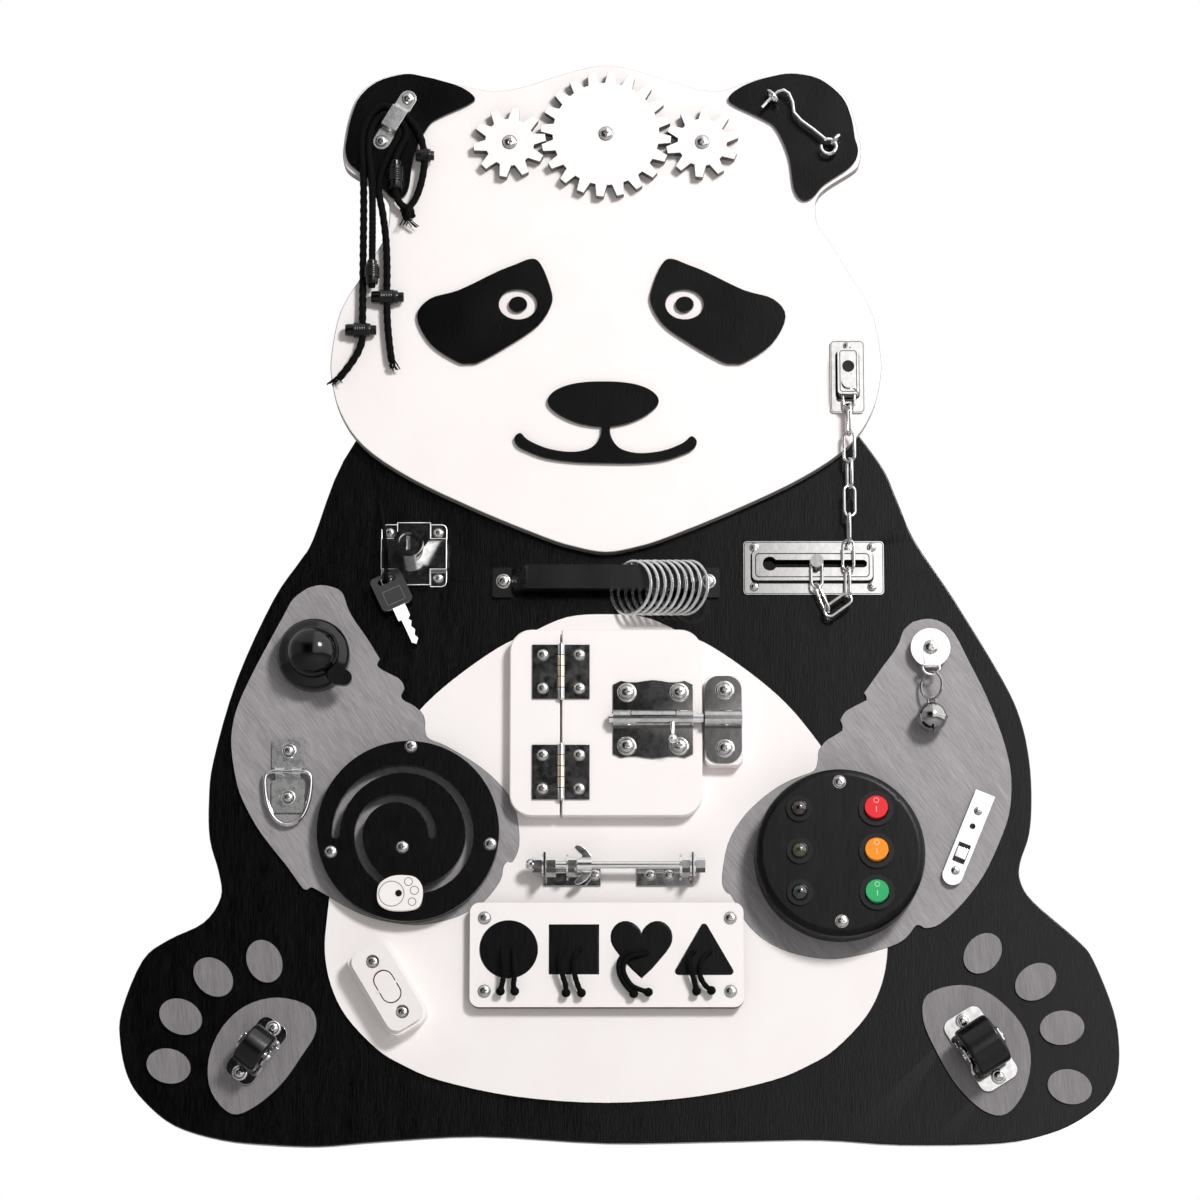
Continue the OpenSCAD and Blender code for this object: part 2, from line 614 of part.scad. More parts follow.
module chain_plates() color("#b9b9bd") {
    difference() {
        union() {
            placed(anchor_c) slab(head_y, plate_t) rounded(anchor_size[0], anchor_size[1], 2.5);
            placed(anchor_c + [0, 1]) slab(head_y, housing_rise) rounded(13.6, 30, 2);
        }
        placed(anchor_c + [0, -1]) slab(head_y + 1, housing_rise + 1 - channel_wall) square([11.2, 30],
            center = true);
        peg(anchor_c + [0, 4.3], head_y + 1, 20, 3.9);
        drilled(anchor_spots, head_y);
    }
    peg(anchor_c + [0, -6.3], head_y - housing_rise, 2.6, 4.3);
    peg([hang_x, hang_top + link_half - link_wire_r - anchor_pin_r - link_gap], head_y - plate_t,
        housing_rise - plate_t - 0.5, anchor_pin_r);
    difference() {
        union() {
            placed(track_c) slab(body_y, plate_t) rounded(track_size[0], track_size[1], 2.5);
            placed([track_c[0] - 1, track_c[1] + 0.6]) slab(body_y, channel_rise)
                rounded(77, 19.6, 3);
        }
        placed([track_c[0] - 1, track_c[1] + 0.6]) slab(body_y + 1, channel_rise + 1 - channel_wall)
            rounded(74, 15, 2);
        slab(body_y + 1, 20) {
            translate([slot_from, track_level - slot_half]) square([slot_to - slot_from, 2 * slot_half]);
            translate([slot_to, track_level]) circle(r = slot_half);
            translate([slot_from, track_level]) circle(r = 4.6);
        }
        drilled(track_spots, body_y);
    }
}

slider_stem_r = 2.1;
slider_foot_t = 2;
slider_foot_y = body_y - channel_rise + channel_wall + 0.2 + slider_foot_t;

// Links run in turn with their face and their edge to the front
link_wire_r = 1;
link_bend_r = 3.6;
link_half = 9.9;
link_gap = 0.15;
anchor_pin_r = 1.2;
chain_top_y = head_y - 9;
chain_low_y = body_y - channel_rise - 5.2;
slider_head_y = chain_low_y - link_wire_r - slip_gap;

module chain_slider() color("#c9c9cc") {
    p = [slider_x, track_level];
    peg(p, slider_foot_y, slider_foot_t, 4.3);
    peg(p, slider_foot_y - 1, slider_foot_y - slider_head_y, slider_stem_r);
    peg(p, slider_head_y, 3.2, 4.2);
}

link_pitch = 2 * link_half - 2 * link_wire_r - link_gap;
hang_x = 155.8;
hang_top = 136;
hang_links = 8;
hang_end = [154, hang_top - (hang_links - 1) * link_pitch - link_half];
tail_top = [slider_x, track_level + slider_stem_r + link_gap + link_wire_r - 2 * link_half];
tail_dir = [0.4, -0.9165];
tail_low = tail_top + (2 * link_half - 2 * link_wire_r - link_gap) * tail_dir;

// A link with its bend at a point, running along direction d; side is its other direction
function link_path(centre, d, side) = [for (s = [1, -1], a = [0 : 30 : 180])
    centre + s * (link_half - link_bend_r) * d
    + link_bend_r * (cos(a + (s < 0 ? 180 : 0)) * side + sin(a + (s < 0 ? 180 : 0)) * d)];

module link(c, d, edge_on, y = chain_low_y) {
    direction = [d[0], 0, d[1]];
    flat_side = [d[1], 0, -d[0]];
    side = edge_on ? [0, 1, 0] : flat_side;
    normal = edge_on ? flat_side : [0, 1, 0];
    loop_tube(link_path([c[0], y, c[1]], direction, side), link_wire_r, normal, 6);
}

module door_chain() color("#b5b5b8") {
    for (i = [0 : hang_links - 1])
        link([hang_x + (hang_end[0] - hang_x) * max(i - 4, 0) / 3, hang_top - i * link_pitch], [0, -1],
            i % 2 == 1, chain_top_y + (chain_low_y - chain_top_y) * i / hang_links);
    span = unit(tail_low - hang_end);
    link((tail_low + hang_end) / 2, span, false);
    link(tail_top + (link_half - 2 * link_wire_r - link_gap) * tail_dir, tail_dir, true);
    link(tail_top + [0, link_half], [0, 1], false);
}

// ---- drawer lock and its key ----

tongue_z = [-9, 7.5];

module lock_body() color("#a9a9ad") difference() {
    union() {
        difference() {
            placed(lock_c) slab(body_y, lock_depth) rounded(lock_size[0], lock_size[1], 3);
            for (sx = [-1, 1], sz = [-1, 1])
                placed(lock_c + [sx * (lock_size[0] / 2 - 5), sz * (lock_size[1] / 2 - 5)])
                    translate([-5.5, body_y - 40, -5.5]) cube([11, 40 - sheet_t, 11]);
        }
        peg(cylinder_c, body_y, lock_depth + cylinder_h, cylinder_r);
    }
    translate([lock_c[0] - 14, body_y - lock_depth + 1.2, lock_c[1] + tongue_z[0] - slip_gap])
        cube([60, lock_depth - 1, tongue_z[1] - tongue_z[0] + 2 * slip_gap]);
    peg(cylinder_c, body_y + 1, 60, plug_r + run_gap);
    drilled(lock_spots, body_y);
}

module lock_plug() color("#bcbcc0") difference() {
    peg(cylinder_c, body_y - lock_depth + 0.9, cylinder_h - 1.4, plug_r);
    placed(cylinder_c) translate([-0.8, body_y - lock_depth - cylinder_h - 1, -4]) cube([1.6, 8, 8]);
}

module lock_tongue() color("#c9c9cc")
    translate([lock_c[0] - 13, body_y - lock_depth + 1.6, lock_c[1] + tongue_z[0]])
        cube([lock_size[0] / 2 + 13 + 1.5, lock_depth - 2.1, tongue_z[1] - tongue_z[0]]);

key_y = body_y - lock_depth - 1.6;
key_c = [-137, 8];
key_angle = 25;
key_t = 3;

module key() placed(key_c, key_angle) {
    color("#55545a") slab(key_y, key_t) difference() {
        rounded(21, 23, 3);
        translate([0, 7.2]) rounded(12, 4.4, 2.1);
    }
    color("#d0d0d4") slab(key_y - 0.6, 1.8) translate([0, -11.5]) polygon([[-4.2, 0], [4.2, 0],
        [4.2, -8], [2, -10], [3.4, -12], [1.6, -15], [3.2, -18], [1.4, -21], [2.6, -24], [0, -27],
        [-2.2, -25], [-2.2, -9], [-4.2, -9]]);
}

// The cord comes out of a hole in the board and ends in the hole of the key
key_cord_r = 1.4;
key_cord_hole = [-145, 67.8];
key_cord_route = [[-145, 4, 67.8], [-145, -0.5, 67.8], [-144.8, -3.6, 65.4], [-144, -6.5, 60],
    [-142.8, -9.5, 53], [-141.5, -12.2, 44], [-140.8, -13.4, 34], [-140.4, -14.2, 25],
    [-140.3, -14.6, 19.5], [-140.2, -14, 15.6], [-140.1, -11, 14.6], [-140, -7.6, 14.5]];

module key_cord() color("#141314")
    tube(open_curve([for (q = key_cord_route) [q[0], body_y + q[1], q[2]]], 2), key_cord_r, [1, 0, 0]);

// ---- pull handle with key rings ----

handle_y = body_y - 18;
bar_t = 8;

pad_size = [13.4, 19.5];

module pull_handle() color("#161618") difference() {
    union() {
        for (p = handle_spots) slab(body_y, 3) translate([p[0] + sign(p[0]) * 0.4, p[1] - 0.8])
            rounded(pad_size[0], pad_size[1], 1.5);
        translate([0, 0, handle_z - bar_h / 2]) linear_extrude(bar_h) polygon([
            [-70, body_y], [-70, body_y - 3], [-60.5, body_y - 3], [-53, handle_y + 3],
            [-49, handle_y], [49, handle_y], [53, handle_y + 3], [60.5, body_y - 3], [70, body_y - 3],
            [70, body_y], [57, body_y], [49.5, handle_y + bar_t + 1], [48, handle_y + bar_t],
            [-48, handle_y + bar_t], [-49.5, handle_y + bar_t + 1], [-57, body_y]]);
    }
    drilled(handle_spots, body_y);
}

ring_wire_r = 1.1;
ring_r = ring_d / 2 - ring_wire_r;
ring_lean = 43;
ring_step = 4.5;
first_ring_x = 16;
bar_mid_y = handle_y + bar_t / 2;
ring_hang = sqrt(pow(ring_r - ring_wire_r, 2) - pow((bar_t / 2 + 0.2) / sin(ring_lean), 2));
ring_z = handle_z + bar_h / 2 + seat_gap - ring_hang;

module key_rings() color("#c9c9cc")
    for (i = [0 : ring_count - 1]) translate([first_ring_x + i * ring_step, bar_mid_y, ring_z])
        rotate([0, 0, -ring_lean]) rotate([90, 0, 0]) rotate_extrude()
            translate([ring_r, 0]) circle(r = ring_wire_r, $fn = 16);

// ---- bicycle bell ----

bell_h = 32;
lever_pivot = bell_c + [15.8, -15.8];
lever_t = 5;
lever_y = panel_y - 17.3;
lever_pin_r = 1.5;

module bicycle_bell() color("#151516") {
    placed(bell_c) translate([0, panel_y, 0])
        rotate([90, 0, 0]) rotate_extrude() polygon([[0, 0], [bell_r - 1, 0], [bell_r, 1],
            [bell_r, 11], [bell_r - 2, 14], [bell_r - 5, 16], [15.5, 16.5], [15.5, 20],
            [14.6, 24], [12, 28], [8, bell_h - 1.4], [4, bell_h - 0.3], [0, bell_h]]);
    peg(lever_pivot, panel_y, panel_y - lever_y - seat_gap, 2.8);
    peg(lever_pivot, panel_y, panel_y - lever_y + lever_t - 1.5, lever_pin_r);
}

module bell_lever() color("#18181a") difference() {
    placed(lever_pivot) slab(lever_y, lever_t) hull() {
        circle(r = 6, $fn = 32);
        translate([4.4, -1.6]) circle(r = 5, $fn = 32);
    }
    peg(lever_pivot, lever_y + 1, lever_t, lever_pin_r + 0.08);
}

// ---- lashing ring ----

ring_drop = 34;

module ring_plates() color("#a5a5aa") difference() {
    union() {
        slab(panel_y, plate_t) {
            translate([ring_plate_x, -97.2]) rounded(21, 19, 2);
            translate([ring_plate_x, -124.2]) rounded(21, 21, 2);
            translate([ring_plate_x - 8, -116]) square([16, 12]);
        }
        translate([ring_plate_x - 8, ring_hinge_y, ring_hinge_z]) rotate([0, 90, 0])
            cylinder(h = 16, r = 3);
    }
    translate([ring_plate_x - 30, ring_hinge_y, ring_hinge_z]) rotate([0, 90, 0])
        cylinder(h = 60, r = lash_r + run_gap);
    translate([ring_plate_x - 3, ring_hinge_y - 10, ring_hinge_z - 6]) cube([6, 10.6, 12]);
    drilled(ring_plate_spots, body_y);
}

// D ring: a straight bar in its hinge and a bow that hangs from it
bow_half = [[8.8, 0], [11, -0.1], [13.4, -1.4], [14.6, -4.6], [14.5, -10], [13.4, -18],
    [10.8, -26], [6.3, -31.8]];

module lashing_ring() color("#c4c4c8") {
    bow = concat(bow_half, [[0, -ring_drop]], mirrored(bow_half, 0));
    tube([for (p = open_curve(bow, 2)) [ring_plate_x + p[0], ring_hinge_y, ring_hinge_z + p[1]]],
        lash_r - 0.04, [0, 1, 0], 12);
    translate([ring_plate_x - 10, ring_hinge_y, ring_hinge_z]) rotate([0, 90, 0])
        cylinder(h = 20, r = lash_r);
}

// ---- maze ----

groove_step = 10;
function arc(c, r, from, to) = [for (a = [from : (from > to ? -1 : 1) * groove_step : to])
    [c + r * cos(a), groove_z + r * sin(a)]];

// One side of the groove: the outer one for out = 1 and the inner one for out = -1
function groove_side(w, out) = concat(arc(groove_a[0], groove_a[1] + out * w, 180, 0),
    arc(groove_b[0], groove_b[1] + out * w, -groove_step, -180 + groove_step),
    arc(groove_c[0], groove_c[1] + out * w, 180, 0));

function backwards(p) = [for (i = [len(p) - 1 : -1 : 0]) p[i]];

// Three half circles that follow each other, with a round end on both sides
module groove(width) {
    w = width / 2;
    polygon(concat(groove_side(w, 1), arc(groove_c[0] + groove_c[1], w, -30, -150),
        backwards(groove_side(w, -1)), arc(groove_a[0] - groove_a[1], w, -30, -150)));
}

flange_t = 2.4;
flange_r = 4.2;

module maze_disc() color("#141314") difference() {
    peg(maze_c, panel_y, maze_t, maze_d / 2);
    slab(maze_y + 20, 40) groove(groove_w);
    slab(panel_y + 1, flange_t + 1.6) groove(2 * flange_r + 1);
    drilled(maze_spots, panel_y);
}

knob_at = [groove_b[0] + groove_b[1] * cos(knob_angle), groove_z + groove_b[1] * sin(knob_angle)];
paw_outline = [[-14, -1], [-12.5, 6], [-6, 10.5], [2, 11.6], [10, 10.2], [14.4, 4.5], [14.6, -3],
    [12, -9], [4, -11], [-6, -10.6], [-12.5, -7]];

paw_shift = [-1.5, -4];

module maze_knob() color("#f0ecea") {
    peg(knob_at, panel_y - 0.3, flange_t, flange_r);
    peg(knob_at, panel_y - 0.5, maze_t + head_h + 1, groove_w / 2 - 0.35);
    placed(knob_at + paw_shift) slab(maze_y - head_h - 0.7, 4) polygon(closed(paw_outline, 4));
}

// ---- light box ----

lamp_r = 5.2;
lamp_bezel_r = 8.2;
rocker_r = rocker_d / 2;
box_front = 5;
post_r = 3.8;
bezel_h = 1.4;
rocker_tilt = 8;
rocker_y = box_y + 0.4;
pivot_r = 1;

// Pivot pin of a rocker, along its own X direction
module pivot(half, r) rotate([20, 0, 0]) translate([-half, 0, 0]) rotate([0, 90, 0])
    cylinder(h = 2 * half, r = r);

module light_box() color("#1c1b1b") difference() {
    translate([box_c[0], panel_y, box_c[1]]) rotate([90, 0, 0]) difference() {
        union() {
            rotate_extrude() polygon([[0, 0], [box_d / 2, 0], [box_d / 2, box_h - 5],
                [box_d / 2 - 0.7, box_h - 2.5], [box_d / 2 - 2.4, box_h - 0.7],
                [box_d / 2 - 5, box_h], [0, box_h]]);
        }
        translate([0, 0, -1]) cylinder(h = box_h + 1 - box_front, r = box_d / 2 - box_wall);
    }
    for (z = row_z) {
        peg(box_c + [lamp_x, z], panel_y, 80, lamp_bezel_r - 1.2);
        peg(box_c + [rocker_x, z], panel_y, 80, switch_bezel_r - 1.2);
    }
    drilled(box_spots, panel_y);
}

// Posts, lamp holders, switch housings and the battery holder inside the light box
module light_box_insides() color("#1a1a1c") {
    for (p = box_spots) difference() {
        peg(p, panel_y, box_h - box_front, post_r);
        peg(p, panel_y + 1, 60, shank_r + run_gap);
    }
    for (z = row_z) {
        difference() {
            union() {
                peg(box_c + [lamp_x, z], box_y, bezel_h, lamp_bezel_r);
                peg(box_c + [lamp_x, z], box_y + 12, 12, lamp_bezel_r - 1.4);
            }
            peg(box_c + [lamp_x, z], box_y + 8, 30, lamp_r + run_gap);
        }
        difference() {
            union() {
                peg(box_c + [rocker_x, z], box_y, bezel_h, switch_bezel_r);
                peg(box_c + [rocker_x, z], box_y + 16, 16, switch_bezel_r - 1.4);
            }
            peg(box_c + [rocker_x, z], box_y + 7, 30, rocker_r + 0.7);
            placed(box_c + [rocker_x, z]) translate([0, rocker_y, 0])
                pivot(rocker_r + 1.8, pivot_r + 0.08);
        }
    }
    placed(box_c + [-1.6, -1]) slab(panel_y, 16) rounded(24, 2 * row_reach - 13, 2);
}

module lamp_lenses() color("#26262c") for (z = row_z)
    translate([box_c[0] + lamp_x, box_y + 8, box_c[1] + z]) rotate([90, 0, 0]) rotate_extrude()
        polygon([[0, 0], [lamp_r, 0], [lamp_r, 9.4], [4.7, 11.2], [3.4, 12.8], [1.8, 13.7], [0, 14]]);

module rocker(row) placed(box_c + [rocker_x, row_z[row]]) translate([0, rocker_y, 0]) {
    rotate([90 - rocker_tilt, 0, 0]) translate([0, 0, -3]) cylinder(h = 7.4, r = rocker_r);
    pivot(rocker_r + 1.6, pivot_r);
}

module red_rocker() color("#ff5a5a") rocker(0);
module amber_rocker() color("#ffa32e") rocker(1);
module green_rocker() color("#43c97e") rocker(2);

// ---- door, hinges and barrel bolt ----

corner_r = 14;
knuckle_count = 5;
door_right = door_left + door_w;

// Plate with two rounded corners on the side that faces away from the hinge
module half_rounded(x0, x1, side) {
    r = corner_r;
    top = door_c_z + door_h / 2;
    low = door_c_z - door_h / 2;
    far = side > 0 ? x1 : x0;
    near = side > 0 ? x0 : x1;
    polygon(concat([[near, low], [near, top]],
        [for (a = [0 : 10 : 90]) [far - side * r + side * r * sin(a), top - r + r * cos(a)]],
        [for (a = [0 : 10 : 90]) [far - side * r + side * r * cos(a), low + r - r * sin(a)]]));
}

module door_surround() color("white") difference() {
    slab(panel_y, door_t) {
        half_rounded(strip_right - strip_w, strip_right, -1);
        translate([(keeper_x[0] + keeper_x[1]) / 2 + 0.4, bolt_z - 0.6])
            rounded(keeper_x[1] - keeper_x[0] + 0.8, keeper_h + 2, 5);
    }
    drilled(concat(strip_spots, keeper_spots), panel_y);
}

module door() color("white") difference() {
    slab(panel_y - 0.2, door_t - 0.2) half_rounded(door_left, door_right, 1);
    for (p = concat(leaf_spots, guide_spots)) peg(p, door_y + 7.5, 20, shank_r + run_gap);
}

// Knuckles of one leaf; first is 0 or 1
module knuckles(z, first) {
    step = hinge_h / knuckle_count;
    for (i = [first : 2 : knuckle_count - 1])
        translate([hinge_x, hinge_y, z - hinge_h / 2 + i * step + 0.1])
            cylinder(h = step - 0.2, r = knuckle_r);
}

module leaf(z, side) {
    step = hinge_h / knuckle_count;
    first = side < 0 ? 0 : 1;
    difference() {
        union() {
            translate([side > 0 ? hinge_x : hinge_x - hinge_half_w, door_y - sheet_t, z - hinge_h / 2])
                cube([hinge_half_w, sheet_t, hinge_h]);
        }
        for (i = [1 - first : 2 : knuckle_count - 1])
            translate([hinge_x - knuckle_r - 0.3, door_y - 9, z - hinge_h / 2 + i * step - 0.1])
                cube([2 * knuckle_r + 0.6, 12, step + 0.2]);
    }
    knuckles(z, first);
}

pin_r = 1;

module fixed_hinge_leaves() color("#8b8b8f") {
    difference() {
        for (z = hinge_zs) leaf(z, -1);
        drilled(strip_spots, panel_y);
        for (z = hinge_zs) translate([hinge_x, hinge_y, z - hinge_h]) cylinder(h = 2 * hinge_h, r = pin_r);
    }
    for (z = hinge_zs) translate([hinge_x, hinge_y, z - hinge_h / 2 - 1])
        cylinder(h = hinge_h + 2, r = pin_r);
}

module door_hinge_leaves() color("#8b8b8f") difference() {
    for (z = hinge_zs) leaf(z, 1);
    for (p = leaf_spots) peg(p, door_y + 7.5, 20, shank_r + run_gap);
    for (z = hinge_zs) translate([hinge_x, hinge_y, z - hinge_h])
        cylinder(h = 2 * hinge_h, r = pin_r + 0.08);
}

// Plate with a wavy top and bottom
function wavy(x0, x1, h) = concat(
    [for (t = [0 : 0.1 : 1]) [x0 + t * (x1 - x0), h / 2 - 1.6 * pow(sin(180 * 2 * t), 2)
        - (t == 0 || t == 1 ? 3 : 0)]],
    [for (t = [1 : -0.1 : -0.01]) [x0 + t * (x1 - x0), -h / 2 + 1.6 * pow(sin(180 * 2 * t), 2)
        + (t > 0.99 || t < 0.01 ? 3 : 0)]]);

module along_x(x0, x1, r) translate([x0, bolt_y, bolt_z]) rotate([0, 90, 0])
    cylinder(h = x1 - x0, r = r);

module bolt_guide() color("#b0b0b5") difference() {
    union() {
        translate([0, 0, bolt_z]) slab(door_y, sheet_t) polygon(wavy(guide_x[0], guide_x[1], guide_h));
        along_x(guide_x[0], guide_x[1], barrel_r);
        translate([guide_x[0], bolt_y, bolt_z - barrel_r])
            cube([guide_x[1] - guide_x[0], door_y - bolt_y, 2 * barrel_r]);
    }
    along_x(guide_x[0] - 1, guide_x[1] + 1, bolt_r + run_gap);
    translate([19, bolt_y, bolt_z]) rotate([-30, 0, 0]) translate([0, -1.7, -20]) cube([35, 3.4, 20]);
    for (p = guide_spots) peg(p, door_y + 7.5, 20, shank_r + run_gap);
}

bolt_tip_x = keeper_x[0] - 1;
ball_drop = 17;
arch_r = bolt_r + 0.9;

module sliding_bolt() color("#d0d0d4") {
    along_x(guide_x[0] - 2.5, bolt_tip_x, bolt_r);
    translate([bolt_knob_x, bolt_y, bolt_z]) rotate([-30, 0, 0]) {
        translate([0, 0, -ball_drop]) cylinder(h = ball_drop, r = 1.4);
        translate([0, 0, -ball_drop]) sphere(r = 3);
    }
}

module bolt_keeper() color("#b0b0b5") difference() {
    union() {
        translate([(keeper_x[0] + keeper_x[1]) / 2, 0, bolt_z]) slab(door_y, sheet_t)
            rounded(keeper_x[1] - keeper_x[0], keeper_h, 9);
        along_x(keeper_x[0], keeper_x[1], barrel_r);
        translate([keeper_x[0], bolt_y, bolt_z - barrel_r])
            cube([keeper_x[1] - keeper_x[0], door_y - bolt_y, 2 * barrel_r]);
    }
    along_x(keeper_x[0] - 1, keeper_x[1] + 1, arch_r);
    translate([keeper_x[0] - 1, bolt_y, bolt_z - arch_r])
        cube([keeper_x[1] - keeper_x[0] + 2, door_y - sheet_t - bolt_y, 2 * arch_r]);
    drilled(keeper_spots, door_y);
}

// ---- threaded rod between two brackets ----

ear_t = 1.6;

module bracket(ear_x, side) {
    base_x = side > 0 ? ear_x - bracket_len : ear_x;
    translate([base_x, panel_y - plate_t, bracket_base_z - bracket_w / 2])
        cube([bracket_len, plate_t, bracket_w]);
    translate([side > 0 ? ear_x - ear_t : ear_x, rod_y - 8, rod_z - 8]) cube([ear_t,
        panel_y - rod_y + 8 - 0.2, 15]);
}

module rod_part(x0, x1, r, sides = 0) translate([x0, rod_y, rod_z]) rotate([0, 90, 0])
    cylinder(h = x1 - x0, r = r, $fn = sides > 0 ? sides : 48);

module rod_brackets() color("#9c9ca1") difference() {
    union() {
        bracket(left_ear_x, -1);
        bracket(right_ear_x, 1);
    }
    rod_part(left_ear_x - 5, right_ear_x + 5, rod_r + run_gap);
    drilled(concat(left_bracket_spots, right_bracket_spots), body_y);
}

nut_r = 4.9;
washer_r = 7;
acorn_from = left_ear_x - 12;

// Hex bolt with its nuts and washers, which clamp it to the brackets
module threaded_rod() color("#c0c0c4") {
    rod_part(acorn_from + 1, right_ear_x + 3, rod_r);
    rod_part(right_ear_x + 1, right_ear_x + 7, nut_r, 6);
    rod_part(right_ear_x, right_ear_x + 1, washer_r);
    rod_part(right_ear_x - ear_t - 6, right_ear_x - ear_t - 1, nut_r, 6);
    rod_part(right_ear_x - ear_t - 1, right_ear_x - ear_t, washer_r);
    rod_part(right_ear_x - ear_t - 7.5, right_ear_x - ear_t - 6, washer_r);
    rod_part(left_ear_x - 1, left_ear_x, washer_r);
    rod_part(left_ear_x - 7, left_ear_x - 1, nut_r, 6);
    translate([left_ear_x - 7, rod_y, rod_z]) sphere(r = 4.4);
    rod_part(left_ear_x + ear_t, left_ear_x + ear_t + 6, nut_r, 6);
    rod_part(left_ear_x + 14.4, left_ear_x + 15.4, washer_r);
    rod_part(left_ear_x + 15.4, left_ear_x + 21, nut_r, 6);
}

wing_from = left_ear_x + 21.3;
wing_len = 9;
wing_half = [[2.5, 3], [wing_len, 3], [wing_len - 0.5, 6], [wing_len - 3, 9.5], [wing_len - 7, 12.2],
    [wing_len - 9.5, 12.6], [wing_len - 11, 11], [wing_len - 9, 8.6], [wing_len - 6, 6]];

module wing_nut() color("#c6c6ca") difference() {
    union() {
        rod_part(wing_from, wing_from + wing_len, 4.6);
        for (s = [-1, 1]) translate([wing_from, rod_y + 1, rod_z]) rotate([90, 0, 0])
            linear_extrude(2) polygon([for (q = wing_half) [q[0], s * q[1]]]);
    }
    rod_part(wing_from - 5, wing_from + wing_len + 5, rod_r + run_gap);
}

// ---- shape board ----

heart_half = [[0, 9.8], [1.4, 12.4], [3.4, 14.7], [5.8, 16.4], [8.6, 17.4], [11.5, 17.4],
    [14.3, 16.3], [16.6, 14.3], [18.3, 11.6], [19, 8.4], [18.8, 5.2], [17.6, 2.2], [15.4, -1.1],
    [12.4, -4.8], [6, -12.2], [0, -17.9]];
insert_gap = 0.5;
cord_thin_r = 1.6;

module heart(grow) {
    p = concat(heart_half, [for (i = [len(heart_half) - 2 : -1 : 1]) [-heart_half[i][0],
        heart_half[i][1]]]);
    m = len(p);
    polygon([for (i = [0 : m - 1])
        let (t = unit(p[(i + 1) % m] - p[(i + m - 1) % m])) p[i] + grow * [-t[1], t[0]]]);
}

triangle_r = 22.2;
triangle_round = 1.8;
triangle_drop = 4.6;

module triangle(grow) {
    r = triangle_round + grow;
    reach = triangle_r + 2 * grow - 2 * r;
    polygon([for (a = [90, 210, 330], t = [-60 : 12 : 60])
        [reach * cos(a) + r * cos(a + t), reach * sin(a) + r * sin(a + t) - triangle_drop]]);
}

module shape_board() color("white") difference() {
    placed(frame_c) slab(panel_y, frame_t) rounded(frame_w, frame_h, 6);
    slab(panel_y + 1, frame_t + 2) {
        translate(circle_c) circle(r = circle_r + insert_gap, $fn = 96);
        translate(square_c) square(square_w + 2 * insert_gap, center = true);
        translate(heart_c) heart(insert_gap);
        translate(triangle_c) triangle(insert_gap);
    }
    drilled(frame_spots, panel_y);
}

// Cord handle that leaves the insert at two places and hangs down
module cord_end(x, z, sway, length = 26) {
    route = [[0, 0, 0], [0, -3, 0], [0.1 * sway, -5.4, -2], [0.3 * sway, -6.4, -7],
        [0.6 * sway, -6.2, -13], [0.9 * sway, -5, -19], [sway, -4.4, -length]];
    translate([x, frame_y, z]) {
        tube(open_curve(route, 2), cord_thin_r, [1, 0, 0]);
        translate([sway, -4.4, -length - 0.9]) sphere(r = 2.5, $fn = 24);
    }
}

module insert(centre) {
    color("#141314") slab(panel_y - 0.1, frame_t - 0.1) translate(centre) children();
}

module shape_circle() {
    insert(circle_c) circle(r = circle_r, $fn = 96);
    color("#141314") for (x = [-4.3, 4.3]) cord_end(circle_c[0] + x, circle_c[1] - 2, x * 0.5, 24);
}

module shape_square() {
    insert(square_c) square(square_w, center = true);
    color("#141314") for (x = [-6, 4]) cord_end(square_c[0] + x, square_c[1] + 2, 1.5, 28);
}

// One of the two cords of the heart's handle; the inner one, k = 1, runs inside the outer one
heart_path = [[-2, 0, 0], [-2.4, -3, 0], [-6, -5.6, 0.5], [-12.5, -6.8, -1.5], [-16, -6.6, -7],
    [-15.6, -6, -14], [-12, -5.2, -21], [-6, -4.6, -25.6], [0, -4.4, -28], [4.5, -4.4, -29]];
module heart_cord(k) {
    tube(open_curve([for (q = heart_path) [q[0] + 0.6 * k, q[1], q[2] * (1 - 0.02 * k)]], 2), cord_thin_r,
        [0.3, 0.2, 1]);
    translate(heart_path[len(heart_path) - 1] + [0.9, 0, -0.1]) sphere(r = 2.5, $fn = 24);
}

module shape_heart() {
    insert(heart_c) heart(0);
    color("#141314") {
        for (k = [0, 1]) translate([heart_c[0] + 3.6 * k, frame_y, heart_c[1] - 2.6 * k])
            heart_cord(k);
    }
}

module shape_triangle() {
    insert(triangle_c) triangle(0);
    color("#141314") for (x = [-5, 5]) cord_end(triangle_c[0] + x, triangle_c[1] - 3, -x * 0.1, 24);
}

// ---- lamp switch ----

switch_recess = 2.5;
switch_hole = [13, 22.5];
lamp_rocker_tilt = 7;

module lamp_switch() color("#f4f1f0") difference() {
    placed(switch_c, switch_angle) union() {
        slab(panel_y, switch_h - 3) rounded(switch_size[0], switch_size[1], 8);
        slab(panel_y - switch_h + 3, 3) rounded(switch_size[0] - 4, switch_size[1] - 4, 7);
    }
    placed(switch_c, switch_angle) slab(panel_y - 3, 40) rounded(switch_hole[0], switch_hole[1], 6.4);
    for (p = switch_spots) peg(p, panel_y - switch_h + switch_recess, 20, head_r + 0.6);
    placed(switch_c, switch_angle) translate([0, lamp_rocker_y, 0])
        pivot(switch_hole[0] / 2 + 1.4, pivot_r + 0.08);
    drilled(switch_spots, panel_y);
}

lamp_rocker_y = panel_y - switch_h + 1;

module lamp_rocker() color("#f4f1f0") placed(switch_c, switch_angle) translate([0, lamp_rocker_y, 0]) {
    rotate([lamp_rocker_tilt, 0, 0]) slab(7, 8) rounded(switch_hole[0] - 1.4, switch_hole[1] - 2, 5.6);
    pivot(switch_hole[0] / 2 + 1.2, pivot_r);
}

// ---- castors ----

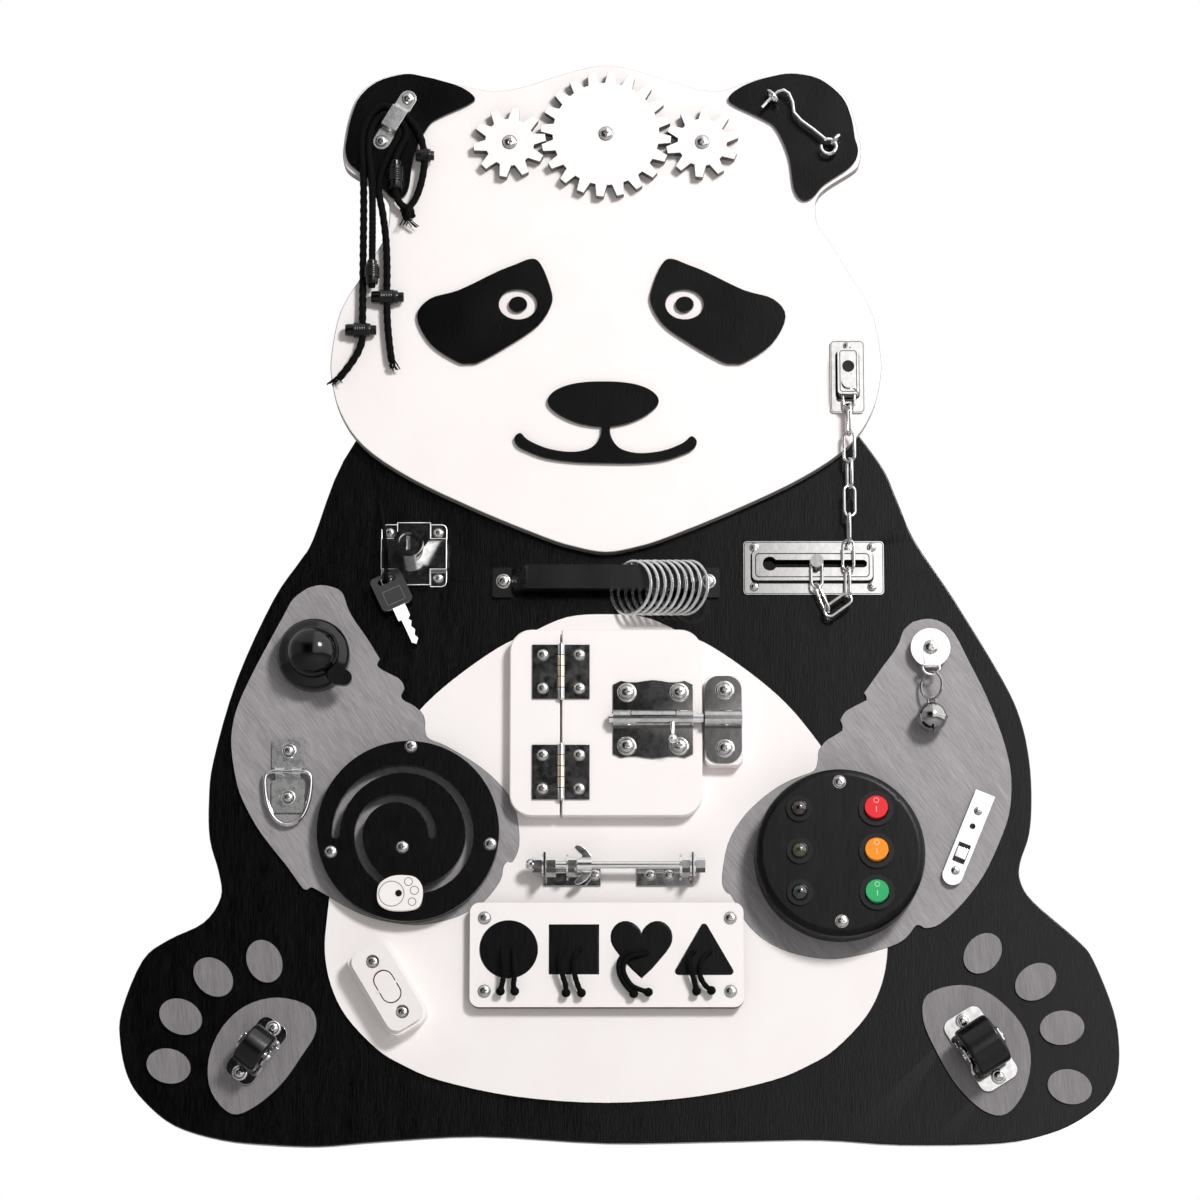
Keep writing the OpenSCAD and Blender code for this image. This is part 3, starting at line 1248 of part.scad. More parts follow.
fork_t = 1.5;
fork_gap = 0.8;
castor_axle_r = 2.5;
function wheel_y(wheel) = panel_y - plate_t - wheel / 2 - 0.7;

// Fork for a wheel of diameter d and width w
module castor_fork(c, angle, d, w) placed(c, angle) {
    inside = w / 2 + fork_gap;
    foot = 0.39 * d;
    axle_y = wheel_y(d);
    difference() {
        union() {
            slab(panel_y, plate_t) rounded(2 * (inside + fork_t), 2 * castor_hole(d) + d / 3, 6);
            for (s = [-1, 1]) translate([s > 0 ? inside : -inside - fork_t, 0, 0])
                rotate([0, 90, 0]) linear_extrude(fork_t) polygon([[-foot, panel_y],
                    [foot, panel_y], [foot - 4, panel_y - 4], [6.5, axle_y - 1], [4, axle_y - 4.5],
                    [-4, axle_y - 4.5], [-6.5, axle_y - 1], [4 - foot, panel_y - 4]]);
        }
        drilled([[0, castor_hole(d)], [0, -castor_hole(d)]], body_y);
    }
    translate([-inside - fork_t - 1, axle_y, 0]) rotate([0, 90, 0])
        cylinder(h = 2 * (inside + fork_t + 1), r = castor_axle_r);
}

module castor_forks() color("#b5b5ba") {
    castor_fork(left_castor_c, left_castor_angle, small_wheel_d, small_wheel_w);
    castor_fork(right_castor_c, right_castor_angle, wheel_d, wheel_w);
}

module castor_wheel(c, angle, d, w) color("#171718") placed(c, angle)
    translate([0, wheel_y(d), 0]) rotate([0, 90, 0]) rotate_extrude() polygon([
        [castor_axle_r + run_gap, -w / 2], [d / 2 - 2, -w / 2],
        [d / 2 - 0.6, 0.6 - w / 2], [d / 2, 2 - w / 2],
        [d / 2, w / 2 - 2], [d / 2 - 0.6, w / 2 - 0.6],
        [d / 2 - 2, w / 2], [castor_axle_r + run_gap, w / 2]]);

module left_wheel() castor_wheel(left_castor_c, left_castor_angle, small_wheel_d, small_wheel_w);
module right_wheel() castor_wheel(right_castor_c, right_castor_angle, wheel_d, wheel_w);

// ---- jingle bell ----

hanger_y = panel_y - hanger_t;
ring_plane_y = hanger_y - 2.8;
d_ring_z = hanger_c[1] - 11.8;
d_ring_low = 6.2;
thin_wire_r = 0.8;

// Disc, strap and the D ring that the strap holds
module bell_hanger() color("#d9d9dc") {
    difference() {
        union() {
            peg(hanger_c, panel_y, hanger_t, 12.6);
            placed(hanger_c + [0, -5]) slab(hanger_y, sheet_t) rounded(8.6, 15, 2);
            translate([hanger_c[0] - 4, ring_plane_y, d_ring_z]) rotate([0, 90, 0])
                cylinder(h = 8, r = 2);
        }
        drilled([hanger_c], body_y);
        translate([hanger_c[0] - 10, ring_plane_y, d_ring_z]) rotate([0, 90, 0])
            cylinder(h = 20, r = 0.9);
    }
    loop_tube([for (q = concat([[-5, 0], [0, 0], [5, 0]], [for (a = [20 : -20 : -200])
        [5.4 * cos(a), -1.6 + (d_ring_low - 1.6) * sin(a)]]))
        [hanger_c[0] + q[0], ring_plane_y, d_ring_z + q[1]]], thin_wire_r, [0, 1, 0], 8);
}

bell_ball_c = [206.5, -74.7];
bell_ball_r = 9.6;
split_ring = [8.2, 9];
split_turn = 40;
split_c = [206.5, d_ring_z - d_ring_low + 2 * thin_wire_r + 0.2 - split_ring[1]];

module jingle_bell() color("#d0d0d4") {
    loop_tube([for (a = [0 : 20 : 340]) [split_c[0] - split_ring[0] * cos(a) * cos(split_turn),
        ring_plane_y + split_ring[0] * cos(a) * sin(split_turn), split_c[1] + split_ring[1] * sin(a)]],
        thin_wire_r, [sin(split_turn), cos(split_turn), 0], 8);
    difference() {
        translate([bell_ball_c[0], ring_plane_y, bell_ball_c[1]]) {
            sphere(r = bell_ball_r);
            translate([0, 0, -0.8]) cylinder(h = 1.6, r = bell_ball_r + 0.6);
        }
        translate([bell_ball_c[0], ring_plane_y, bell_ball_c[1]]) sphere(r = bell_ball_r - 1);
        translate([bell_ball_c[0] - 0.8, ring_plane_y - 20, bell_ball_c[1] - 20]) cube([1.6, 40, 14]);
    }
    translate([bell_ball_c[0], ring_plane_y, bell_ball_c[1] + bell_ball_r + 0.6])
        rotate([90, 0, 0]) rotate_extrude() translate([2.4, 0]) circle(r = 0.8, $fn = 16);
}

// ---- flush bolt ----

flush_t = 4;
window = [-10, 8, 13];

module flush_bolt() color("#c2c2c6") difference() {
    placed(flush_c, flush_angle) slab(panel_y, flush_t) difference() {
        union() {
            translate([-flush_size[0] / 2, -flush_size[1] / 2 + 6.5])
                square([flush_size[0], flush_size[1] - 6.5]);
            translate([0, -flush_size[1] / 2 + 6.5]) circle(r = flush_size[0] / 2);
        }
        translate([-window[1] / 2, window[0] - window[2] / 2]) square([window[1], window[2]]);
    }
    drilled(flush_spots, body_y);
    drilled([flush_dimple], panel_y, 1.9);
}

module flush_tab() color("#d6d6da") placed(flush_c, flush_angle) slab(panel_y - 0.2, flush_t + 0.6)
    translate([-window[1] / 2 + 0.4, window[0] - 3.4]) square([window[1] - 0.8, 7]);

// ---- fasteners ----

module wood_screws() color("#d2d2d5") {
    for (p = gear_axles) {
        peg(p, head_y - gear_t - 0.8, 2.4, 4.3);
        peg(p, head_bite, head_bite - head_y + gear_t + 0.8, axle_r);
    }
    for (p = clamp_spots) screw(p, patch_y - sheet_t, head_bite);
    for (p = anchor_spots) screw(p, head_y - plate_t, head_bite, 2.6);
    for (p = track_spots) screw(p, body_y - plate_t, body_bite, 2.9);
    for (p = lock_spots) screw(p, body_y - sheet_t, body_bite, 3);
    for (p = handle_spots) washered(p, body_y - 3, body_bite, 4.9, 3.6);
    for (p = ring_plate_spots) washered(p, panel_y - plate_t, body_bite, 5.2);
    for (p = maze_spots) screw(p, maze_y, body_bite);
    for (p = box_spots) screw(p, box_y, body_bite);
    for (p = strip_spots) screw(p, door_y - sheet_t, body_bite, 3.4);
    for (p = keeper_spots) washered(p, door_y - sheet_t, body_bite, 6.2, 4.2);
    for (p = concat(left_bracket_spots, right_bracket_spots)) screw(p, panel_y - plate_t, body_bite, 3.4);
    for (p = frame_spots) screw(p, frame_y, body_bite);
    for (p = switch_spots) screw(p, panel_y - switch_h + switch_recess, body_bite, 3.6);
    for (p = concat(left_castor_spots, right_castor_spots)) washered(p, panel_y - plate_t, body_bite, 4.8);
    for (p = flush_spots) screw(p, panel_y - flush_t, body_bite, 2.6);
    screw(hanger_c, hanger_y - sheet_t, body_bite, 4.4);
}

module door_screws() color("#d2d2d5") {
    for (p = leaf_spots) screw(p, door_y - sheet_t, door_y + 7, 3.4);
    for (p = guide_spots) washered(p, door_y - sheet_t, door_y + 7, 6.2, 4.2);
}

body_board();
head_board();
belly_panel();
grey_panels();
face_patches();
big_gear();
left_gear();
right_gear();
ear_fittings();
lacing_cords();
cord_stoppers();
cabin_hook();
chain_plates();
door_chain();
chain_slider();
lock_body();
lock_plug();
lock_tongue();
key();
key_cord();
pull_handle();
key_rings();
bicycle_bell();
bell_lever();
ring_plates();
lashing_ring();
maze_disc();
maze_knob();
light_box();
lamp_lenses();
light_box_insides();
red_rocker();
amber_rocker();
green_rocker();
door_surround();
door();
fixed_hinge_leaves();
door_hinge_leaves();
bolt_guide();
sliding_bolt();
bolt_keeper();
rod_brackets();
threaded_rod();
wing_nut();
shape_board();
shape_circle();
shape_square();
shape_heart();
shape_triangle();
lamp_switch();
lamp_rocker();
castor_forks();
left_wheel();
right_wheel();
bell_hanger();
jingle_bell();
flush_bolt();
flush_tab();
wood_screws();
door_screws();
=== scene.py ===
"""Looks of the wooden panda busy board: its finishes, its fine pieces, the light and the camera."""

import json
import logging
import math
import random
from collections.abc import Callable
from dataclasses import dataclass, field
from enum import Enum
from typing import ClassVar

import bmesh
import bpy
from mathutils import Matrix, Vector


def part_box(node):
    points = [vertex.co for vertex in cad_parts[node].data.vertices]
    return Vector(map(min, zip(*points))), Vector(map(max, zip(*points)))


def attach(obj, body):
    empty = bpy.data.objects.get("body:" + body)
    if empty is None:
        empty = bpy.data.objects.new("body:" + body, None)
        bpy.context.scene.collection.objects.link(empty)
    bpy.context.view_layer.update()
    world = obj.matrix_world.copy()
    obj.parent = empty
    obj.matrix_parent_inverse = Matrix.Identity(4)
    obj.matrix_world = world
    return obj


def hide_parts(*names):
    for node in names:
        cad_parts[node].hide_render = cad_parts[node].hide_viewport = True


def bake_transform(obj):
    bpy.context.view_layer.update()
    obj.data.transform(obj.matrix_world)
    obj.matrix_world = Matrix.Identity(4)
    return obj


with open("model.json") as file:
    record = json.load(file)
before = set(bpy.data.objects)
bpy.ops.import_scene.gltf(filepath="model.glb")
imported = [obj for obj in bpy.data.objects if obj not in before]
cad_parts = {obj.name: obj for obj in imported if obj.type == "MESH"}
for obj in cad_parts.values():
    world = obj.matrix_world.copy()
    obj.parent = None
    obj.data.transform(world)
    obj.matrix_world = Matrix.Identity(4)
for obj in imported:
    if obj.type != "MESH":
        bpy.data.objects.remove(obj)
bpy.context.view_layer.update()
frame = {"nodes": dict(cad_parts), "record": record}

Point = tuple[float, float, float]
Flat = tuple[float, float]
Colour = tuple[float, float, float, float]
Shape = bmesh.types.BMesh
Piece = bpy.types.Object
Tree = bpy.types.NodeTree
Socket = bpy.types.NodeSocket

LOG = logging.getLogger("busy_board")
MM = 0.001
QUARTER = math.pi / 2
AS_IS = Matrix.Identity(4)
MERGE_CLOSE = 1e-6
MERGE_LOOSE = 2e-6
FLAT_ANGLE = math.radians(0.8)
SHARP_ANGLE = math.radians(32.0)
SHORTEST_EDGE = 1.2 * MM
PAD_TOP = -215.0 * MM
HINGE_AXIS = -28.6
BEARING_FRONT = -23.4 * MM
PLATE_FRONT = -25.2 * MM


# ---- small helpers ----


def metres(x: float, y: float, z: float) -> Vector:
    """A point given in millimetres, in metres."""
    return Vector((x, y, z)) * MM


def grey(value: float, warmth: float = 0.0) -> Colour:
    """A grey of a linear value; warmth is how far red stands above it, as a share."""
    return (value * (1 + warmth), value, value * (1 - 0.5 * warmth), 1.0)


def smooth_line(points: list[Vector], steps: int) -> list[Vector]:
    """A smooth open line through a few points.

    Args:
        points: The points that the line passes through.
        steps: How many parts each stretch between two points gets.

    Returns:
        The points of the line.
    """
    line = []
    last = len(points) - 1
    for i in range(last):
        a, b, c, d = points[max(i - 1, 0)], points[i], points[i + 1], points[min(i + 2, last)]
        for t in (k / steps for k in range(steps)):
            line.append(0.5 * (2 * b + (c - a) * t + (2 * a - 5 * b + 4 * c - d) * t * t
                               + (3 * b - a - 3 * c + d) * t * t * t))
    return line + [points[last].copy()]


def rounded_outline(half: Flat, corner: Flat, steps: int) -> list[Flat]:
    """A closed rectangle with round corners around the origin.

    Args:
        half: Half its width and half its height.
        corner: Reach of its corners across and up.
        steps: How many parts each corner gets.

    Returns:
        Its points; the last is the first again.
    """
    points = []
    for quarter, (sx, sz) in enumerate(((1, 1), (-1, 1), (-1, -1), (1, -1))):
        for turn in (QUARTER * (quarter + k / steps) for k in range(steps + 1)):
            points.append((sx * (half[0] - corner[0]) + corner[0] * math.cos(turn),
                           sz * (half[1] - corner[1]) + corner[1] * math.sin(turn)))
    return points + points[:1]


def new_object(name: str, shape: Shape, smooth_angle: float = 35.0) -> Piece:
    """Makes a mesh object from a bmesh and frees the bmesh.

    Args:
        name: Name of the piece.
        shape: The finished shape, in metres, in the frame of the board.
        smooth_angle: Edges sharper than this angle, in degrees, stay sharp.

    Returns:
        The new object, at the origin.
    """
    bmesh.ops.recalc_face_normals(shape, faces=shape.faces)
    for face in shape.faces:
        face.smooth = True
    mesh = bpy.data.meshes.new(name)
    shape.to_mesh(mesh)
    shape.free()
    mesh.set_sharp_from_angle(angle=math.radians(smooth_angle))
    piece = bpy.data.objects.new(name, mesh)
    bpy.context.scene.collection.objects.link(piece)
    return piece


def put(piece: Piece, body: str, finish: "Finish", stands_for: tuple[str, ...] = ()) -> Piece:
    """Gives a piece its finish and its body.

    Args:
        piece: The finished piece.
        body: The body that it rides on; empty leaves it unattached.
        finish: The finish of its surface.
        stands_for: CAD nodes that it stands for.

    Returns:
        The same piece.
    """
    piece.data.materials.clear()
    piece.data.materials.append(finish.material())
    if body:
        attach(piece, body)
    if stands_for:
        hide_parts(*stands_for)
    LOG.info("%s rides on %s", piece.name, body or "its own joint")
    return piece


def second_finish(piece: Piece, finish: "Finish", test: Callable[[Vector], bool]) -> None:
    """Gives some faces of a piece another finish.

    Args:
        piece: The piece.
        finish: The other finish.
        test: Tells from the middle of a face whether it gets the other finish.
    """
    piece.data.materials.append(finish.material())
    for face in piece.data.polygons:
        if test(face.center):
            face.material_index = 1


def body_of_node(node: str) -> str:
    """Name of the body that holds a CAD node."""
    groups = frame["record"]["behaviour"]["bodies"]
    return next(body for body, nodes in groups.items() if node in nodes)


def merged_copy(node: str) -> Shape:
    """A copy of a CAD node's mesh with its loose triangles joined into plain faces.

    Args:
        node: The CAD node.

    Returns:
        The copy, in metres.
    """
    shape = bmesh.new()
    shape.from_mesh(frame["nodes"][node].data)
    bmesh.ops.remove_doubles(shape, verts=shape.verts, dist=MERGE_LOOSE)
    bmesh.ops.dissolve_limit(shape, angle_limit=FLAT_ANGLE, verts=shape.verts, edges=shape.edges,
                             use_dissolve_boundaries=False)
    return shape


def softened(node: str, finish: "Finish", width: float, shape: Shape | None = None) -> Piece:
    """Stands a shape with rounded edges in the place of a CAD node.

    Args:
        node: The CAD node.
        finish: Finish of the new piece.
        width: Width of the rounded edges, in millimetres.
        shape: The shape; without it, the node's own.

    Returns:
        The new piece.
    """
    shape = shape or merged_copy(node)
    edges = [e for e in shape.edges if e.is_manifold and e.calc_length() > SHORTEST_EDGE
             and e.calc_face_angle(0.0) > SHARP_ANGLE]
    bmesh.ops.bevel(shape, geom=edges, offset=width * MM, offset_type="OFFSET", affect="EDGES", segments=2,
                    profile=0.5, material=-1, clamp_overlap=True)
    piece = new_object(f"{node}_finished", shape)
    piece.modifiers.new("even_shading", "WEIGHTED_NORMAL").keep_sharp = True
    return put(piece, body_of_node(node), finish, (node,))


def solids(node: str) -> list[tuple[list[Vector], Vector, Vector]]:
    """Finds each separate solid of a CAD node.

    Args:
        node: The CAD node.

    Returns:
        The corner points of each solid, with the lowest and the highest corner of its box.
    """
    shape = bmesh.new()
    shape.from_mesh(frame["nodes"][node].data)
    bmesh.ops.remove_doubles(shape, verts=shape.verts, dist=MERGE_CLOSE)
    left, found = set(shape.verts), []
    for seed in shape.verts:
        if seed not in left:
            continue
        left.remove(seed)
        part, front = [seed], [seed]
        while front:
            vert = front.pop()
            for other in (edge.other_vert(vert) for edge in vert.link_edges):
                if other in left:
                    left.remove(other)
                    part.append(other)
                    front.append(other)
        points = [v.co.copy() for v in part]
        low, high = (Vector([pick(p[i] for p in points) for i in range(3)]) for pick in (min, max))
        found.append((points, low, high))
    shape.free()
    return found


def turned_profile(profile: list[Flat], steps: int = 64, ring: bool = False) -> Shape:
    """Spins a half outline once around the Y axis.

    Args:
        profile: Points of radius and depth, in millimetres; depth counts towards the front.
        steps: Number of faces round the axis.
        ring: Whether the outline closes on itself and leaves a hole in the middle.

    Returns:
        A closed shape around the origin.
    """
    shape = bmesh.new()
    verts = [shape.verts.new(metres(r, -depth, 0)) for r, depth in profile]
    edges = [shape.edges.new(pair) for pair in zip(verts, verts[1:])]
    if ring:
        edges.append(shape.edges.new((verts[-1], verts[0])))
    bmesh.ops.spin(shape, geom=verts + edges, cent=(0, 0, 0), axis=(0, 1, 0), angle=math.tau, steps=steps,
                   use_merge=True, use_duplicate=False)
    bmesh.ops.remove_doubles(shape, verts=shape.verts, dist=MERGE_CLOSE)
    return shape


def flat_ring(radius: float, line: float, proud: float, steps: int = 48) -> Shape:
    """A thin ring around the Y axis.

    Args:
        radius: Radius to the middle of its line, in millimetres.
        line: Width of its line, in millimetres.
        proud: Half its height along Y, in millimetres.
        steps: Number of faces round the axis.

    Returns:
        The ring around the origin.
    """
    low, high = radius - line / 2, radius + line / 2
    return turned_profile([(low, -proud), (high, -proud), (high, proud), (low, proud)], steps, True)


def flat_bar(centre: Vector, width: float, height: float, proud: float = 0.12) -> Shape:
    """A thin flat bar that faces the viewer.

    Args:
        centre: Its centre, in metres.
        width: Its width, in millimetres.
        height: Its height, in millimetres.
        proud: Half its depth, in millimetres.

    Returns:
        The bar.
    """
    shape = bmesh.new()
    bmesh.ops.create_cube(shape, size=MM)
    bmesh.ops.scale(shape, verts=shape.verts, vec=(width, 2 * proud, height))
    bmesh.ops.translate(shape, verts=shape.verts, vec=centre)
    return shape


def join(target: Shape, part: Shape, place: Matrix = AS_IS, keep: bool = False) -> None:
    """Adds a placed copy of a part to a shape.

    Args:
        target: The shape that grows.
        part: The part that is added.
        place: Where the part goes.
        keep: Whether the part is needed again; if not, it is freed.
    """
    holder = bpy.data.meshes.new("part_in_hand")
    part.to_mesh(holder)
    holder.transform(place)
    target.from_mesh(holder)
    bpy.data.meshes.remove(holder)
    if not keep:
        part.free()


def thin_tube(points: list[Vector], radius: float, sides: int = 5) -> Shape:
    """A thin round strand along a few points.

    Args:
        points: Its centre line, in metres.
        radius: Its radius, in millimetres.
        sides: How many sides it has.

    Returns:
        The strand.
    """
    shape = bmesh.new()
    rings = []
    for i, point in enumerate(points):
        ahead = (points[min(i + 1, len(points) - 1)] - points[max(i - 1, 0)]).normalized()
        side = ahead.cross(Vector((0, 1, 0))).normalized()
        across = ahead.cross(side)
        rings.append([shape.verts.new(point + radius * MM * (side * math.cos(a) + across * math.sin(a)))
                      for a in (math.tau * k / sides for k in range(sides))])
    skin(shape, rings)
    bmesh.ops.recalc_face_normals(shape, faces=shape.faces)
    return shape


def skin(shape: Shape, rings: list[list[bmesh.types.BMVert]]) -> None:
    """Closes a row of rings of vertices into a tube with two ends.

    Args:
        shape: The shape that holds the vertices.
        rings: The rings in order, each with the same number of vertices.
    """
    sides = len(rings[0])
    for a, b in zip(rings, rings[1:]):
        for k in range(sides):
            n = (k + 1) % sides
            shape.faces.new((a[k], a[n], b[n], b[k]))
    shape.faces.new(list(reversed(rings[0])))
    shape.faces.new(rings[-1])


# ---- shader groups ----


def connect(tree: Tree, node: bpy.types.Node, inputs: dict[int | str, object]) -> None:
    """Sets or links a node's inputs.

    Args:
        tree: The node tree.
        node: The node.
        inputs: Values or sockets, by the name or number of the input.
    """
    for place, value in inputs.items():
        if isinstance(value, Socket):
            tree.links.new(value, node.inputs[place])
        else:
            node.inputs[place].default_value = value


def add(tree: Tree, kind: str, inputs: dict[int | str, object] | None = None,
        **settings: object) -> bpy.types.Node:
    """Adds a shader node.

    Args:
        tree: The node tree.
        kind: Kind of the node.
        inputs: Its inputs, each a value or a socket.
        settings: Its own settings.

    Returns:
        The node.
    """
    node = tree.nodes.new(f"ShaderNode{kind}")
    for name, value in settings.items():
        setattr(node, name, value)
    connect(tree, node, inputs or {})
    return node


def sum_of(tree: Tree, operation: str, a: object, b: object) -> Socket:
    """The result of a math node on two numbers or sockets."""
    return add(tree, "Math", {0: a, 1: b}, operation=operation).outputs[0]


def mixed(tree: Tree, share: object, a: object, b: object) -> Socket:
    """The mix of two colours; share is that of the second."""
    return add(tree, "Mix", {0: share, 6: a, 7: b}, data_type="RGBA").outputs[2]


def noise(tree: Tree, vector: Socket, scale: object, detail: float, roughness: float) -> Socket:
    """The value of a noise pattern."""
    inputs = {"Vector": vector, "Scale": scale, "Detail": detail, "Roughness": roughness}
    return add(tree, "TexNoise", inputs).outputs[0]


def stretched(tree: Tree, vector: Socket, scale: Point, turn: float = 0.0) -> Socket:
    """Coordinates that stretch a pattern, turned by some degrees about the depth axis."""
    inputs = {"Vector": vector, "Rotation": (0, math.radians(turn), 0), "Scale": tuple(1 / s for s in scale)}
    return add(tree, "Mapping", inputs, vector_type="TEXTURE").outputs[0]


def ranged(tree: Tree, value: Socket, low: float, high: float, to_low: object, to_high: object) -> Socket:
    """Maps a value from one range to another, clamped."""
    inputs = {"Value": value, "From Min": low, "From Max": high, "To Min": to_low, "To Max": to_high}
    return add(tree, "MapRange", inputs).outputs[0]


def wood_pattern(tree: Tree, vector: Socket, grain: Socket) -> tuple[Socket, Socket, Socket]:
    """Adds fine straight wood grain along Z.

    Args:
        tree: The node tree.
        vector: The coordinates.
        grain: Scale of the fine grain; wood has its own and leaves it unused.

    Returns:
        Share of the light tone, height and unevenness.
    """
    wander = noise(tree, stretched(tree, vector, (40, 40, 22)), 1.0, 2.0, 0.5)
    shift = add(tree, "VectorMath", {0: (0.006, 0, 0), "Scale": wander}, operation="SCALE").outputs[0]
    moved = add(tree, "VectorMath", {0: vector, 1: shift}, operation="ADD").outputs[0]
    fibres = noise(tree, stretched(tree, moved, (1000, 300, 80)), 1.0, 5.0, 0.65)
    bands = noise(tree, stretched(tree, moved, (160, 60, 14)), 1.0, 3.0, 0.5)
    pores = noise(tree, stretched(tree, moved, (1900, 900, 190)), 1.0, 2.0, 0.5)
    fine = sum_of(tree, "MULTIPLY", fibres, 0.7)
    blend = sum_of(tree, "ADD", fine, sum_of(tree, "MULTIPLY", bands, 0.3))
    height = sum_of(tree, "ADD", fine, sum_of(tree, "MULTIPLY", pores, 0.3))
    return ranged(tree, blend, 0.38, 0.66, 0.0, 1.0), height, fibres


def surface_pattern(tree: Tree, vector: Socket, grain: Socket) -> tuple[Socket, Socket, Socket]:
    """Faint unevenness of a painted or moulded surface: share of the second tone, height and unevenness."""
    cloud = noise(tree, vector, 28.0, 4.0, 0.55)
    return ranged(tree, cloud, 0.42, 0.75, 0.0, 1.0), noise(tree, vector, grain, 2.0, 0.5), cloud


def brushed_pattern(tree: Tree, vector: Socket, grain: Socket) -> tuple[Socket, Socket, Socket]:
    """Adds the fine drawn lines of plated sheet along X.

    Args:
        tree: The node tree.
        vector: The coordinates.
        grain: Scale of the fine grain; sheet has its own and leaves it unused.

    Returns:
        Share of the second tone, height and unevenness.
    """
    lines = noise(tree, stretched(tree, vector, (120, 2500, 4000)), 1.0, 4.0, 0.6)
    cloud = noise(tree, vector, 260.0, 3.0, 0.6)
    waves = noise(tree, vector, 110.0, 2.0, 0.5)
    height = sum_of(tree, "ADD", sum_of(tree, "MULTIPLY", lines, 0.06), waves)
    return ranged(tree, cloud, 0.4, 0.7, 0.0, 1.0), height, cloud


def pattern_group(name: str, pattern: Callable) -> Tree:
    """A shader group that makes a colour, a height and a roughness of a pattern, made once.

    Args:
        name: Name of the group.
        pattern: The function that adds the pattern's nodes.

    Returns:
        The group.
    """
    if name in bpy.data.node_groups:
        return bpy.data.node_groups[name]
    tree = bpy.data.node_groups.new(name, "ShaderNodeTree")
    given, made = tree.nodes.new("NodeGroupInput"), tree.nodes.new("NodeGroupOutput")
    for way, kind, label in (
            ("INPUT", "Vector", "Vector"), ("INPUT", "Color", "First"), ("INPUT", "Color", "Second"),
            ("INPUT", "Float", "Grain"), ("INPUT", "Float", "Rough Low"), ("INPUT", "Float", "Rough High"),
            ("OUTPUT", "Color", "Colour"), ("OUTPUT", "Float", "Height"), ("OUTPUT", "Float", "Roughness")):
        tree.interface.new_socket(name=label, in_out=way, socket_type=f"NodeSocket{kind}")
    sockets = given.outputs
    share, height, uneven = pattern(tree, sockets["Vector"], sockets["Grain"])
    rough = ranged(tree, uneven, 0.3, 0.7, sockets["Rough Low"], sockets["Rough High"])
    colour = mixed(tree, share, sockets["First"], sockets["Second"])
    connect(tree, made, {"Colour": colour, "Height": height, "Roughness": rough})
    return tree


# ---- finishes ----


@dataclass(frozen=True)
class Finish:
    """A plastic, painted or stained surface of two tones with fine unevenness."""

    PATTERN: ClassVar[tuple[str, Callable]] = ("uneven_surface", surface_pattern)
    BUMP_HEIGHT: ClassVar[float] = 0.0005
    name: str
    colour: Colour
    soiled: Colour
    rough: Flat = (0.35, 0.5)
    bump: float = 0.05
    grain_scale: float = 900.0
    coat: float = 0.0
    shine: float = 0.5
    edge: Colour | None = None
    turn: float = 0.0

    def dress(self) -> dict[str, float]:
        """The shader's own values."""
        return {"Coat Weight": self.coat, "Specular IOR Level": self.shine}

    def material(self) -> bpy.types.Material:
        """Makes the finish's material once, with a cut edge and turned grain where it has them.

        Returns:
            The material.
        """
        label = f"{self.name}_finish"
        if label in bpy.data.materials:
            return bpy.data.materials[label]
        material = bpy.data.materials.new(label)
        material.use_nodes = True
        tree = material.node_tree
        place = add(tree, "TexCoord").outputs
        vector = stretched(tree, place["Object"], (1, 1, 1), self.turn) if self.turn else place["Object"]
        inputs = {"Vector": vector, "First": self.colour, "Second": self.soiled, "Grain": self.grain_scale,
                  "Rough Low": self.rough[0], "Rough High": self.rough[1]}
        effect = add(tree, "Group", inputs, node_tree=pattern_group(*self.PATTERN)).outputs
        colour = effect["Colour"]
        if self.edge is not None:
            across = add(tree, "SeparateXYZ", {0: place["Normal"]}).outputs["Y"]
            front = sum_of(tree, "ABSOLUTE", across, 0.0)
            colour = mixed(tree, ranged(tree, front, 0.55, 0.9, 1.0, 0.0), colour, self.edge)
        raised = add(tree, "Bump", {"Strength": self.bump, "Distance": self.BUMP_HEIGHT,
                                    "Height": effect["Height"]}).outputs["Normal"]
        connect(tree, tree.nodes["Principled BSDF"], {
            "Base Color": colour, "Roughness": effect["Roughness"], "Normal": raised, **self.dress()})
        return material


@dataclass(frozen=True)
class Wood(Finish):
    """Stained or painted wood whose straight grain shows."""

    PATTERN: ClassVar[tuple[str, Callable]] = ("straight_grain", wood_pattern)


@dataclass(frozen=True)
class Metal(Finish):
    """Plated metal with faint drawn lines."""

    PATTERN: ClassVar[tuple[str, Callable]] = ("drawn_lines", brushed_pattern)

    def dress(self) -> dict[str, float]:
        """Makes the surface metallic."""
        return {"Metallic": 1.0}


